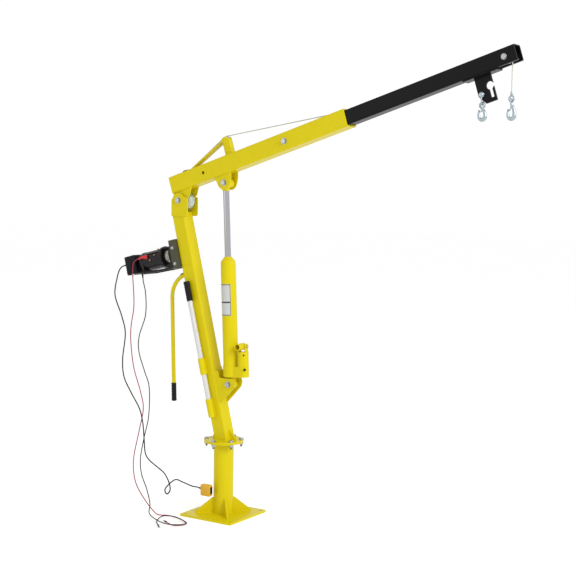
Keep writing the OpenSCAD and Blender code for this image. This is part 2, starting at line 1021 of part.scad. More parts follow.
axle_x = ext_tip - tip_axle_back;
axle_z = boom_z - 2;
axle_r = 5;

module extension_tube() {
  slot_x = boom_front - 30;
  color("black")
    at_boom()
      difference() {
        translate([ext_back, 0, boom_z])
          rotate([90, 0, 90])
            square_tube(ext_w, ext_wall, 5, ext_len);
        translate([slot_x, -rope_slot_w / 2, boom_z + ext_w / 2 - ext_wall - eps])
          cube([lock_pitch + 60, rope_slot_w, ext_wall + 2 * eps]);
        translate([axle_x - 30, -14, ext_low - eps])
          cube([ext_tip, 28, ext_wall + 2 * eps]);
        translate([lock_back + lock_pitch, 0, boom_z])
          cross_pin(lock_hole_d / 2, 2 * ext_w);
        translate([axle_x, 0, axle_z])
          cross_pin(axle_r + run, 2 * ext_w);
      }
}

module tip_roller() {
  color("silver")
    at_boom() {
      translate([axle_x, 0, axle_z])
        cross_pin(axle_r, ext_w + 8);
      translate([axle_x, 0, axle_z])
        rotate([90, 0, 0])
          rotate_extrude()
            polygon([
              [0, -11], [tip_roller_r, -11], [tip_roller_r, -9], [tip_roller_r - 4, -rope_r],
              [tip_roller_r - 4, rope_r], [tip_roller_r, 9], [tip_roller_r, 11], [0, 11]
            ]);
      for (side = [-1, 1])
        translate([axle_x, side * (ext_w / 2 + 2.5), axle_z])
          rotate([90, 0, 0])
            cylinder(d = 16, h = 5, center = true, $fn = 6);
    }
}

key_x = ext_tip - key_back;
key_hole = [key_x + 50, ext_low - 44];
hook_pin = [key_x + 14, ext_low - 66];
hook_pin_r = 5;

module keyhole_plate() {
  low = ext_low - key_h;
  strip = [134, 46, 5.5];
  color("black")
    at_boom() {
      translate([key_x - 35, -strip[1] / 2, ext_low - strip[2]])
        cube(strip);
      plate_xz(-key_t / 2, key_t)
        difference() {
          polygon([
            [key_x, ext_low], [key_x + key_w, ext_low], [key_x + key_w, low],
            [key_x + 21, low], [key_x, low + 31]
          ]);
          translate(key_hole)
            circle(r = key_r);
          translate([key_hole[0] - key_slot / 2, key_hole[1] - 42])
            square([key_slot, 42]);
          translate(hook_pin)
            circle(r = hook_pin_r + run);
        }
    }
}

// ---- hooks ---------------------------------------------------------------

// Hook below the origin: shank, bowl open towards -x and a latch across its mouth
module hook_shape(shank) {
  r = hook_bar / 2;
  mid = hook_bowl + r;
  sweep = 262;
  start = 74;
  low = -shank - mid;
  translate([0, 0, low])
    rotate([90, 0, 0])
      rotate([0, 0, start - sweep])
        rotate_extrude(angle = sweep)
          translate([mid, 0])
            circle(r = r);
  bar([mid * cos(start), 0, low + mid * sin(start) - 1], [0, 0, 0], r + 0.4, 1);
  bar([-1, 0, -shank / 2 - 4], [-mid + 1, 0, low + 3], 2.5);
}

// Ring in the plane of x and z
module ring_xz(mid, r) {
  rotate([90, 0, 0])
    rotate_extrude()
      translate([mid, 0])
        circle(r = r);
}

hook_pin_at = boom_to_world([hook_pin[0], 0, hook_pin[1]]);
bow_mid = 8;
bow_r = 2.5;
bow_low = 26;
eye_mid = 9;
eye_bar = 4;

// Shackle astride the keyhole plate; its bow hangs below the plate
module hook_shackle() {
  lug = 2 * bow_r;
  color("lightsteelblue")
    translate(hook_pin_at) {
      cross_pin(hook_pin_r, 2 * (bow_mid + bow_r + 5));
      for (side = [-1, 1])
        plate_xz(side * bow_mid - bow_r, lug) {
          circle(r = 10);
          translate([-3, -bow_low])
            square([6, bow_low]);
        }
      translate([0, 0, -bow_low])
        rotate([0, 0, 90])
          rotate([90, 0, 0])
            rotate([0, 0, 180])
              rotate_extrude(angle = 180)
                translate([bow_mid, 0])
                  circle(r = bow_r);
    }
}

module fixed_hook() {
  low = bow_low + bow_mid - bow_r - face_gap - eye_bar + eye_mid;
  color("lightsteelblue")
    translate(hook_pin_at - [0, 0, low]) {
      ring_xz(eye_mid, eye_bar);
      translate([0, 0, -eye_mid])
        hook_shape(8);
    }
}

drop_top = boom_to_world([axle_x, 0, axle_z]) + [tip_roller_r - 4 + rope_r + face_gap, 0, 0];
ferrule_len = 14;

// Rope below the tip roller, with the ferrule at its end
module rope_drop() {
  color("gray")
    translate(drop_top - [0, 0, drop_len]) {
      cylinder(r = rope_r, h = drop_len);
      cylinder(r = rope_d, h = ferrule_len);
    }
}

// Thimble under the ferrule, and the hook on its ring
module rope_hook() {
  color("lightsteelblue")
    translate(drop_top - [0, 0, drop_len]) {
      translate([0, 0, -eye_mid - eye_bar])
        ring_xz(eye_mid, eye_bar);
      translate([0, 0, -2 * eye_mid - eye_bar])
        hook_shape(20);
    }
}

// ---- jack ----------------------------------------------------------------

block_low = 30;
block_top = 72;
bore_low = block_top + 20;
rod_travel = 143;
lever_z = pump_top + 22;
lever_r = 13.5;
lever_pin_r = 4;
fork_in = lever_r + 1;

// Casting of the jack's foot: lug, block, pump cylinder and the fork of the pump lever
module jack_body() {
  fork_t = 4;
  color("gold")
    at_jack()
      difference() {
        union() {
          cross_pin(20, eye_t);
          translate([-16, -eye_t / 2, 0])
            cube([32, eye_t, block_low + eps]);
          translate([0, 0, block_low])
            cylinder(d = barrel_d + 4, h = block_top - block_low);
          translate([0, -pump_d / 2, block_low])
            cube([pump_x, pump_d, block_top - block_low]);
          translate([pump_x, 0, block_low])
            cylinder(d = pump_d, h = pump_top - block_low);
          for (x = [-fork_in - fork_t, fork_in])
            translate([pump_x + x, -10, pump_top - eps])
              cube([fork_t, 20, lever_z - pump_top + 11]);
        }
        cross_pin(pin_r + run, 2 * eye_t);
        translate([pump_x, 0, lever_z])
          rotate([0, 90, 0])
            cylinder(r = lever_pin_r + run, h = pump_d + 2 * eps, center = true);
      }
}

module jack_barrel() {
  shoulder = 27;
  half = barrel_d / 2;
  color("gold")
    at_jack()
      rotate_extrude()
        difference() {
          union() {
            translate([0, block_top])
              square([half, barrel_top - shoulder - block_top]);
            intersection() {
              translate([0, barrel_top - shoulder])
                square([half, shoulder]);
              translate([half - shoulder, barrel_top - shoulder])
                circle(r = shoulder);
            }
            translate([0, block_top])
              square([half - shoulder + 1, barrel_top - block_top]);
            translate([0, barrel_top - shoulder])
              square([17, shoulder]);
          }
          translate([0, bore_low])
            square([rod_d / 2 + run, barrel_top]);
        }
}

// Socket for the pump handle, on a pin across the fork
module pump_lever() {
  out = 40;
  back = 9;
  color("gold")
    at_jack()
      translate([pump_x, 0, lever_z]) {
        rotate([90, 0, 0])
          difference() {
            translate([0, 0, -back])
              cylinder(r = lever_r, h = out + back);
            translate([0, 0, lever_pin_r + 3])
              cylinder(r = handle_d / 2 + 0.5, h = out);
          }
        rotate([0, 90, 0])
          cylinder(r = lever_pin_r, h = pump_d, center = true);
      }
}

neck_h = 14;
neck_top = jack_len - eye_r + 2;

module jack_rod() {
  low = bore_low + rod_travel;
  color("silver")
    at_jack()
      translate([0, 0, low])
        cylinder(d = rod_d, h = neck_top - neck_h - low);
}

// Eye on the rod, with a slot for the play of the boom's pin
module rod_eye() {
  color("gold")
    at_jack() {
      translate([0, 0, jack_len])
        rotate([90, 0, 0])
          linear_extrude(eye_t, center = true)
            difference() {
              oblong(eye_half, eye_r);
              oblong(pin_r + eye_play, pin_r + eye_lift);
            }
      translate([0, 0, neck_top - neck_h])
        cylinder(d = rod_d + 6, h = neck_h);
    }
}

base_plate();
post();
post_gussets();
swivel_hub();
mast_flange();
mast_tube();
head_cheeks();
pivot_pin();
head_sheave();
mast_rope();
jack_foot_bracket();
jack_foot_pin();
winch_bracket();
winch_gearbox();
rope_drum();
winch_motor();
control_box();
terminal_boot();
pump_handle();
pump_handle_grip();
handle_holders();
turning_handle();
turning_handle_grip();
pendant_cable();
pendant();
red_lead();
black_lead();
boom_tube();
boom_ears();
jack_head_bracket();
jack_head_pin();
rope_strut();
strut_roller();
boom_rope();
lock_screw();
extension_tube();
tip_roller();
keyhole_plate();
hook_shackle();
fixed_hook();
rope_drop();
rope_hook();
jack_body();
jack_barrel();
pump_lever();
jack_rod();
rod_eye();
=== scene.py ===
import bpy
import bmesh
import json
import math
import random
from mathutils import Matrix, Vector


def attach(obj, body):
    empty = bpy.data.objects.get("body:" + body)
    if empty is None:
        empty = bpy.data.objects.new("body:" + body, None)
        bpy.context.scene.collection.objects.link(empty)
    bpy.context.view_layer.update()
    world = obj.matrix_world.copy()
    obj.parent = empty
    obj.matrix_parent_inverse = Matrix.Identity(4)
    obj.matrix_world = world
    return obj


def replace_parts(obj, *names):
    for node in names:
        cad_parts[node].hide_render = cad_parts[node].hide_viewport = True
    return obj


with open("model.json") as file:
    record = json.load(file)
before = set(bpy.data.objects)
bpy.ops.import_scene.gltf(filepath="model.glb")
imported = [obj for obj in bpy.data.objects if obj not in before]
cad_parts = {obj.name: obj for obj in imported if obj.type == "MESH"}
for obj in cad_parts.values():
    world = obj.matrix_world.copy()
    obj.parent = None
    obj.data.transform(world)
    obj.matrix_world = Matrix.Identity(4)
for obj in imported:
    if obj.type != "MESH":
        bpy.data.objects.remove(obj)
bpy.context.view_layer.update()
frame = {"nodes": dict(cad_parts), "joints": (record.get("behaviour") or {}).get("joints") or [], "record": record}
JOINTS = {j["name"]: j for j in frame["joints"]}
random.seed(5)

# ---- camera -----------------------------------------------------------------

camera_at = Vector((2.82914, -3.91058, 1.32612))
yaw, pitch, roll = (math.radians(a) for a in (32.93, -4.85, 0.8))
ahead = Vector((-math.sin(yaw) * math.cos(pitch), math.cos(yaw) * math.cos(pitch), math.sin(pitch)))
level_x = Vector((math.cos(yaw), math.sin(yaw), 0.0))
level_y = level_x.cross(ahead)
cam_x = math.cos(roll) * level_x + math.sin(roll) * level_y
cam_y = -math.sin(roll) * level_x + math.cos(roll) * level_y
lens = bpy.data.cameras.new("camera")
lens.sensor_width = 36.0
lens.lens = 76.17
lens.clip_start = 0.1
lens.clip_end = 100.0
camera = bpy.data.objects.new("camera", lens)
bpy.context.scene.collection.objects.link(camera)
turn = Matrix((cam_x, cam_y, -ahead)).transposed().to_4x4()
camera.matrix_world = Matrix.Translation(camera_at) @ turn
bpy.context.scene.camera = camera

# ---- places that several pieces share, in millimetres ------------------------

# From the floor
MAST_X, FLANGE_LOW, FLANGE_TOP = 5, 295.3, 305.3
# From the mast's foot: WINCH and PIVOT_S along the mast, the others forwards from it, so minus is behind it
WINCH = 770
BRACKET_BACK, GEAR_BACK, DRUM_BACK, MOTOR_BACK, BOX_BACK = -63, -75, -115, -257, -310
PIVOT_S, PIVOT_N = 975.93, 19.68
# From the boom's pivot, along the boom and up
BOOM_LOW, BOOM_TOP, BOOM_FRONT = 34.6, 103.0, 828.0
STRUT_BACK, STRUT_FRONT, STRUT_TOP = 262.0, 290.0, 175.0
ROLLER_X, ROLLER_Z = 274, 167
KEY_X, HOOK_PIN, TIP_AXLE = 1336, (1350, 0, -25), (1470, 0, 67)

# ---- frames of the bodies ----------------------------------------------------


def basis(at, x_axis):
    x = Vector(x_axis).normalized()
    y = Vector((0, 1, 0))
    z = x.cross(y).normalized()
    return Matrix.Translation(Vector(at)) @ Matrix((x, y, z)).transposed().to_4x4()


# MAST stands on the mast's foot, BOOM on the boom's pivot and JACK on its foot pin.
# All of them take millimetres, but METRES.
MM = Matrix.Scale(0.001, 4)
FLOOR = MM
MAST = basis((MAST_X / 1000, 0, FLANGE_TOP / 1000), JOINTS["drum_spin"]["axis"]) @ MM
BOOM = basis(JOINTS["boom_lift"]["pos_m"], JOINTS["extension_slide"]["axis"]) @ MM
stroke = Vector(JOINTS["jack_stroke"]["axis"])
JACK = basis(JOINTS["jack_tilt"]["pos_m"], (stroke.z, 0, -stroke.x)) @ MM
METRES = Matrix.Identity(4)

# ---- materials ---------------------------------------------------------------

ROUGH_SPREAD = 0.08


def material(name, colour, rough, metal=0.0, coat=0.0, spread=0.05, grain=30.0, bump=0.02, bump_scale=400.0,
             specular=0.5):
    """A procedural material: its tone varies by spread, with a noise of scale grain, over a fine bump."""
    m = bpy.data.materials.new(name)
    m.use_nodes = True
    nodes, links = m.node_tree.nodes, m.node_tree.links
    shader = nodes["Principled BSDF"]
    shader.inputs["Metallic"].default_value = metal
    shader.inputs["Coat Weight"].default_value = coat
    shader.inputs["Coat Roughness"].default_value = 0.06
    shader.inputs["Specular IOR Level"].default_value = specular
    where = nodes.new("ShaderNodeTexCoord")

    def noise(scale, detail=4.0):
        n = nodes.new("ShaderNodeTexNoise")
        n.inputs["Scale"].default_value = scale
        n.inputs["Detail"].default_value = detail
        links.new(where.outputs["Object"], n.inputs["Vector"])
        return n.outputs["Fac"]

    tone = nodes.new("ShaderNodeMapRange")
    tone.inputs["To Min"].default_value = 1 - spread
    tone.inputs["To Max"].default_value = 1 + spread
    links.new(noise(grain), tone.inputs["Value"])
    mix = nodes.new("ShaderNodeMix")
    mix.data_type = "RGBA"
    mix.blend_type = "MULTIPLY"
    mix.inputs["Factor"].default_value = 1.0
    mix.inputs["A"].default_value = (*colour, 1)
    links.new(tone.outputs["Result"], mix.inputs["B"])
    links.new(mix.outputs["Result"], shader.inputs["Base Color"])
    level = nodes.new("ShaderNodeMapRange")
    level.inputs["To Min"].default_value = max(0.02, rough - ROUGH_SPREAD)
    level.inputs["To Max"].default_value = min(1, rough + ROUGH_SPREAD)
    links.new(noise(grain * 3), level.inputs["Value"])
    links.new(level.outputs["Result"], shader.inputs["Roughness"])
    if bump:
        b = nodes.new("ShaderNodeBump")
        b.inputs["Strength"].default_value = bump
        b.inputs["Distance"].default_value = 0.0005
        links.new(noise(bump_scale, 2.0), b.inputs["Height"])
        links.new(b.outputs["Normal"], shader.inputs["Normal"])
    return m


LOOKS = {
    "yellow_paint": dict(colour=(0.77, 0.64, 0.003), rough=0.32, spread=0.035, grain=9, bump=0.12,
                         bump_scale=260, specular=0.15),
    "black_paint": dict(colour=(0.004, 0.004, 0.005), rough=0.28, spread=0.2, bump=0.12, bump_scale=260,
                        specular=0.12),
    "bracket_paint": dict(colour=(0.085, 0.082, 0.05), rough=0.42, spread=0.12, bump=0.2, specular=0.15),
    "winch_paint": dict(colour=(0.008, 0.006, 0.006), rough=0.2, spread=0.3, bump=0.1, specular=0.25),
    "handle_paint": dict(colour=(0.74, 0.74, 0.73), rough=0.3, coat=0.3, spread=0.03),
    "zinc": dict(colour=(0.40, 0.42, 0.42), rough=0.22, metal=0.95, spread=0.2, grain=60, bump=0.1),
    "hook_steel": dict(colour=(0.36, 0.42, 0.45), rough=0.26, metal=0.95, spread=0.15, grain=80, bump=0.15),
    "sheave_steel": dict(colour=(0.55, 0.60, 0.53), rough=0.35, metal=0.8, spread=0.15, grain=60, bump=0.1),
    "wire_rope": dict(colour=(0.55, 0.55, 0.50), rough=0.42, metal=0.6, spread=0.2, grain=200, bump=0.1),
    "rod_chrome": dict(colour=(0.41, 0.41, 0.43), rough=0.1, metal=1.0, spread=0.05, grain=40, bump=0.04),
    "box_plastic": dict(colour=(0.006, 0.006, 0.008), rough=0.42, spread=0.2, bump=0.35, bump_scale=700,
                        specular=0.15),
    "orange_plastic": dict(colour=(0.80, 0.44, 0.02), rough=0.45, spread=0.06, bump=0.2, bump_scale=700),
    "red_rubber": dict(colour=(0.62, 0.015, 0.02), rough=0.42, spread=0.08, bump=0.1, bump_scale=500),
    "lead_red": dict(colour=(0.34, 0.012, 0.045), rough=0.45, spread=0.08, bump=0.1, bump_scale=500),
    "black_rubber": dict(colour=(0.008, 0.008, 0.009), rough=0.5, spread=0.2, bump=0.25, bump_scale=600,
                         specular=0.2),
    "brass": dict(colour=(0.42, 0.25, 0.12), rough=0.3, metal=0.95, spread=0.1, grain=80, bump=0.1),
    "label_white": dict(colour=(0.62, 0.63, 0.62), rough=0.45, spread=0.05, grain=60, bump=0.05),
    "label_black": dict(colour=(0.02, 0.02, 0.02), rough=0.4, spread=0.1, grain=60, bump=0.05),
    "tie_white": dict(colour=(0.7, 0.7, 0.68), rough=0.5, spread=0.04, grain=60, bump=0.05),
}
MATERIALS = {name: material(name, **look) for name, look in LOOKS.items()}
SLOT_OF = {p["node"]: p["material_slot"] for p in frame["record"]["subparts"]}
for name, node in frame["nodes"].items():
    node.data.materials.clear()
    node.data.materials.append(MATERIALS[SLOT_OF[name]])

# ---- shapes ------------------------------------------------------------------


class Shape:
    """Collects plain solids in one frame, and makes one piece of them."""

    def __init__(self, place):
        self.place = place
        self.verts = []
        self.faces = []

    def add(self, verts, faces):
        """Takes points of the shape's own frame, and faces that count from the first of them."""
        first = len(self.verts)
        self.verts += [tuple(self.place @ Vector(v)) for v in verts]
        self.faces += [tuple(first + i for i in f) for f in faces]
        return self

    def rings(self, rings, closed=False):
        """Skins rows of points, with flat ends unless closed."""
        n = len(rings[0])
        verts = [p for ring in rings for p in ring]
        faces = []
        count = len(rings)
        for i in range(count if closed else count - 1):
            a, b = i * n, ((i + 1) % count) * n
            for k in range(n):
                m = (k + 1) % n
                faces.append((a + k, a + m, b + m, b + k))
        if not closed:
            faces.append(tuple(reversed(range(n))))
            faces.append(tuple((count - 1) * n + k for k in range(n)))
        return self.add(verts, faces)

    def lathe(self, at, axis, profile, n):
        """profile holds (radius, distance along the axis) from at."""
        axis = Vector(axis).normalized()
        u = axis.orthogonal().normalized()
        v = axis.cross(u)
        at = Vector(at)
        rows = []
        for r, d in profile:
            r = max(r, 1e-5)
            rows.append([at + axis * d + r * (math.cos(t) * u + math.sin(t) * v)
                         for t in (2 * math.pi * k / n for k in range(n))])
        return self.rings(rows)

    def rod(self, a, b, r, n, soft=0.0):
        a, b = Vector(a), Vector(b)
        d = (b - a).length
        if soft:
            profile = [(r - soft, 0), (r, soft), (r, d - soft), (r - soft, d)]
        else:
            profile = [(r, 0), (r, d)]
        return self.lathe(a, b - a, profile, n)

    def hexagon(self, at, axis, flats, high, turn_by):
        """A hexagon head with its corners rounded off at the top."""
        axis = Vector(axis).normalized()
        u = axis.orthogonal().normalized()
        v = axis.cross(u)
        at = Vector(at)
        r = flats / math.sqrt(3)
        rows = []
        for scale, d in ((1, 0), (1, high * 0.82), (0.86, high)):
            rows.append([at + axis * d + r * scale * (math.cos(t) * u + math.sin(t) * v)
                         for t in (turn_by + 2 * math.pi * k / 6 for k in range(6))])
        return self.rings(rows)

    def keep(self, bm):
        """Takes over the faces of a bmesh, and frees it."""
        bm.verts.index_update()
        self.add([v.co[:] for v in bm.verts], [[v.index for v in f.verts] for f in bm.faces])
        bm.free()
        return self

    def block(self, low, high, soft):
        """A box between two corners, its edges rounded by soft."""
        bm = bmesh.new()
        bmesh.ops.create_cube(bm, size=1.0)
        for v in bm.verts:
            v.co = Vector(((low[i] + high[i]) / 2 + v.co[i] * (high[i] - low[i]) for i in range(3)))
        bmesh.ops.bevel(bm, geom=bm.edges[:], offset=soft, segments=3, profile=0.5, affect="EDGES")
        return self.keep(bm)

    def prism(self, outline, y0, y1, soft):
        """An outline in x and z, made solid from y0 to y1, its edges rounded by soft."""
        bm = bmesh.new()
        face = bm.faces.new([bm.verts.new((x, y0, z)) for x, z in outline])
        out = bmesh.ops.extrude_face_region(bm, geom=[face])
        for e in out["geom"]:
            if isinstance(e, bmesh.types.BMVert):
                e.co.y = y1
        bmesh.ops.bevel(bm, geom=bm.edges[:], offset=soft, segments=2, profile=0.5, affect="EDGES")
        bmesh.ops.recalc_face_normals(bm, faces=bm.faces[:])
        return self.keep(bm)

    def tube(self, points, r, n):
        """A tube along points; r is a radius or a function of the share of the way."""
        pts = [Vector(p) for p in points]
        rows = []
        normal = None
        for i, p in enumerate(pts):
            t = (pts[min(i + 1, len(pts) - 1)] - pts[max(i - 1, 0)]).normalized()
            if normal is None:
                normal = t.orthogonal().normalized()
            normal = (normal - t * normal.dot(t)).normalized()
            other = t.cross(normal)
            share = i / (len(pts) - 1)
            rr = r(share) if callable(r) else r
            rows.append([p + rr * (math.cos(a) * normal + math.sin(a) * other)
                         for a in (2 * math.pi * k / n for k in range(n))])
        return self.rings(rows)

    def torus(self, at, axis, mid, r, n, m):
        """A ring round an axis: a bar of radius r, bent round at a distance of mid."""
        axis = Vector(axis).normalized()
        u = axis.orthogonal().normalized()
        v = axis.cross(u)
        at = Vector(at)
        rows = []
        for i in range(n):
            t = 2 * math.pi * i / n
            out = math.cos(t) * u + math.sin(t) * v
            rows.append([at + out * (mid + r * math.cos(a)) + axis * (r * math.sin(a))
                         for a in (2 * math.pi * k / m for k in range(m))])
        return self.rings(rows, closed=True)

    def bead(self, a, b, r):
        """A weld bead from a to b: a row of low overlapping scales, thin at both ends."""
        a, b = Vector(a), Vector(b)
        steps = max(2, int((b - a).length / (r * 0.55)))
        pts = [a + (b - a) * (i / steps) for i in range(steps + 1)]
        wave = [1 + 0.10 * math.sin(i * 2.1) + random.uniform(-0.06, 0.06) for i in range(steps + 1)]

        def radius(share):
            end = 0.45 if share in (0, 1) else 1
            return r * wave[min(steps, int(share * steps))] * end

        return self.tube(pts, radius, 8)

    def make(self, name, body, slot, sharp=35):
        """Makes the piece: it rides on body, and edges past sharp degrees stay hard."""
        mesh = bpy.data.meshes.new(name)
        mesh.from_pydata(self.verts, [], self.faces)
        mesh.validate()
        bm = bmesh.new()
        bm.from_mesh(mesh)
        bmesh.ops.recalc_face_normals(bm, faces=bm.faces[:])
        bm.to_mesh(mesh)
        bm.free()
        mesh.shade_smooth()
        mesh.set_sharp_from_angle(angle=math.radians(sharp))
        obj = bpy.data.objects.new(name, mesh)
        bpy.context.scene.collection.objects.link(obj)
        mesh.materials.append(MATERIALS[slot])
        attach(obj, body)
        return obj


def mm(*v):
    return tuple(c / 1000 for c in v)


# ---- cords -------------------------------------------------------------------


def spline(p, n):
    """The same smooth line as the cords of the CAD part, in finer steps."""
    out = []
    last = len(p) - 1
    for i in range(last):
        a, b, c, d = (Vector(p[k]) for k in (max(i - 1, 0), i, i + 1, min(i + 2, last)))
        for k in range(n):
            t = k / n
            out.append(0.5 * (2 * b + (c - a) * t + (2 * a - 5 * b + 4 * c - d) * t * t
                              + (3 * b - a - 3 * c + d) * t * t * t))
    out.append(Vector(p[-1]))
    return out


RED = [mm(*p) for p in (
    (-401.7, -45, 1013.9), (-414, -47, 1011), (-424, -51, 1003), (-431, -54, 985), (-431, -55, 940),
    (-427, -54, 880), (-426, -54, 810), (-422, -78, 708), (-390, -98, 580), (-348, -104, 480),
    (-325, -112, 410), (-324, -138, 325), (-325, -170, 222), (-313, -184, 157), (-293, -188, 109),
    (-262, -182, 62), (-228, -176, 24), (-200, -170, 3), (-160, -158, 3), (-112, -162, 3), (-52, -188, 3),
    (-24, -224, 3), (-52, -256, 3), (-112, -232, 3))]
BLACK = [mm(*p) for p in (
    (-430, 6, 949.4), (-424, 4, 918), (-404, -4, 863), (-390, -22, 779), (-398, -52, 695), (-387, -66, 631),
    (-354, -70, 555), (-326, -74, 492), (-308, -98, 380), (-308, -128, 290), (-302, -156, 215),
    (-290, -164, 155), (-266, -160, 95), (-244, -166, 41), (-228, -190, 10), (-160, -242, 10),
    (-80, -276, 10), (-30, -262, 10), (-10, -228, 10), (-56, -196, 10), (-118, -176, 10), (-152, -200, 10),
    (-130, -262, 8), (-90, -300, 3))]
PENDANT = [mm(*p) for p in (
    (-483.8, -28, 982), (-497, -32, 980), (-508, -44, 968), (-508, -62, 935), (-498, -88, 862),
    (-455, -96, 779), (-425, -108, 709), (-420, -130, 607), (-404, -140, 537), (-366, -140, 475),
    (-322, -140, 414), (-299, -146, 358), (-288, -150, 289), (-280, -152, 238), (-262, -148, 211),
    (-228, -138, 185), (-200, -130, 163), (-178, -128, 130), (-168, -132, 100), (-176, -142, 84),
    (-186, -140, 104), (-160, -112, 138), (-130, -98, 130), (-97, -82, 116), (-78, -70, 112),
    (-62, -62, 106))]
LEAD_R, PENDANT_R = 0.002, 0.0025

red_line, black_line, pendant_line = spline(RED, 12), spline(BLACK, 12), spline(PENDANT, 12)


def ring_terminal(name, line):
    """A crimped ring terminal on the end of a lead, lying on its line: a dark sleeve and a plated ring."""
    end = line[-1]
    way = (line[-1] - line[-2]).normalized()
    up = Vector((0, 0, 1))
    up = (up - way * up.dot(way)).normalized()
    across = way.cross(up)
    sleeve = Shape(METRES).rod(end - way * 0.012, end + way * 0.004, 0.0031, 16, 0.0004)
    sleeve = sleeve.make(name + "_sleeve", "mast", "black_rubber")
    eye = end + way * 0.0105
    outer, inner, half, n = 0.0052, 0.0027, 0.0006, 24
    circles = []
    for r, height in ((outer, half), (outer, -half), (inner, -half), (inner, half)):
        circles.append([eye + up * height + r * (math.cos(a) * way + math.sin(a) * across)
                        for a in (2 * math.pi * k / n for k in range(n))])
    ring = Shape(METRES).rings(circles, closed=True)
    ring.rod(end + way * 0.003, end + way * 0.0062, 0.0019, 12)
    return [sleeve, ring.make(name + "_ring", "mast", "zinc")]


red_cord = Shape(METRES).tube(red_line, LEAD_R, 12).make("red_battery_lead", "mast", "lead_red")
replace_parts(red_cord, "red_lead")
red_end = ring_terminal("red_terminal", red_line)

black_cord = Shape(METRES).tube(black_line, LEAD_R, 12).make("black_battery_lead", "mast", "black_rubber")
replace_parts(black_cord, "black_lead")
black_end = ring_terminal("black_terminal", black_line)

pendant_cord = Shape(METRES).tube(pendant_line, PENDANT_R, 14)
pendant_cord = pendant_cord.make("pendant_control_cable", "mast", "black_rubber")
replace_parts(pendant_cord, "pendant_cable")
CASE_X0, CASE_X1, CASE_Z0, CASE_Z1, CASE_MID, CASE_HALF = -62, -15.5, 81, 127, -62, 12
case = Shape(FLOOR)
case.block((CASE_X0, CASE_MID - CASE_HALF, CASE_Z0), (CASE_X1, CASE_MID - 0.3, CASE_Z1), 4.5)
case.block((CASE_X0, CASE_MID + 0.3, CASE_Z0), (CASE_X1, CASE_MID + CASE_HALF, CASE_Z1), 4.5)
case.block((CASE_X0 + 2, CASE_MID - 10, CASE_Z0 + 2), (CASE_X1 - 1.5, CASE_MID + 10, CASE_Z1 - 2), 2)
case = case.make("pendant_case", "mast", "orange_plastic")
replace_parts(case, "pendant")
rocker = Shape(FLOOR)
rocker.block((CASE_X1 - 2, CASE_MID - 7, CASE_Z0 + 10), (CASE_X1 + 0.9, CASE_MID + 7, CASE_Z1 - 8), 1.2)
button = [(CASE_X1 + dx, CASE_Z0 + dz) for dx, dz in ((0.5, 12), (0.5, 36), (2.9, 36), (1.9, 24), (1.1, 12))]
rocker.prism(button, CASE_MID - 5, CASE_MID + 5, 0.4)
rocker = rocker.make("pendant_rocker", "mast", "black_rubber")
gland_line = pendant_line[-9:]
gland = Shape(METRES).tube(gland_line, lambda t: 0.0032 + 0.0028 * t + 0.0004 * (int(t * 16) % 2), 18)
gland = gland.make("pendant_gland", "mast", "black_rubber", 60)

# A tapered strain relief where each cord leaves the winch, and the tie on the red lead
for name, line, r, slot in (("red", red_line, LEAD_R, "red_rubber"),
                            ("black", black_line, LEAD_R, "black_rubber"),
                            ("pendant", pendant_line, PENDANT_R, "black_rubber")):
    relief = Shape(METRES).tube(line[:10], lambda t: r + 0.0004 + 0.0024 * (1 - t), 16)
    relief.make(name + "_strain_relief", "mast", slot, 60)
tie_at = min(red_line, key=lambda p: abs(p.z - 0.947) + abs(p.x + 0.43))
tie = Shape(METRES).torus(tie_at, (0, 0, 1), 0.0026, 0.0009, 20, 8)
tie.block(tie_at + Vector((0.0022, -0.0018, -0.002)), tie_at + Vector((0.0058, 0.0018, 0.002)), 0.0004)
tie.make("lead_tie", "mast", "tie_white")

# ---- wire rope -----------------------------------------------------------------

ROPE_R, ROPE_STEP, ROPE_LAY, STRANDS = 2.25, 1.6, 34.0, 6


def strands(points, place):
    """A wire rope: its section has a lobe for each strand, and turns once in a lay."""
    pts = [Vector(p) for p in points]
    fine = [pts[0]]
    for a, b in zip(pts, pts[1:]):
        n = max(1, round((b - a).length / ROPE_STEP))
        fine += [a + (b - a) * (k / n) for k in range(1, n + 1)]
    rows = []
    normal = None
    run = 0.0
    for i, p in enumerate(fine):
        t = (fine[min(i + 1, len(fine) - 1)] - fine[max(i - 1, 0)]).normalized()
        if normal is None:
            normal = t.orthogonal().normalized()
        normal = (normal - t * normal.dot(t)).normalized()
        other = t.cross(normal)
        if i:
            run += (p - fine[i - 1]).length
        twist = 2 * math.pi * run / ROPE_LAY
        row = []
        for k in range(3 * STRANDS):
            a = 2 * math.pi * k / (3 * STRANDS)
            r = ROPE_R * (0.90 + 0.10 * math.cos(STRANDS * a))
            row.append(p + r * (math.cos(a + twist) * normal + math.sin(a + twist) * other))
        rows.append(row)
    return Shape(place).rings(rows)


def arc(mid, r, a0, a1, n):
    """Points round mid in the plane of x and z, in degrees from x towards z."""
    return [(mid[0] + r * math.cos(math.radians(a0 + (a1 - a0) * i / n)), mid[1],
             mid[2] + r * math.sin(math.radians(a0 + (a1 - a0) * i / n))) for i in range(n + 1)]


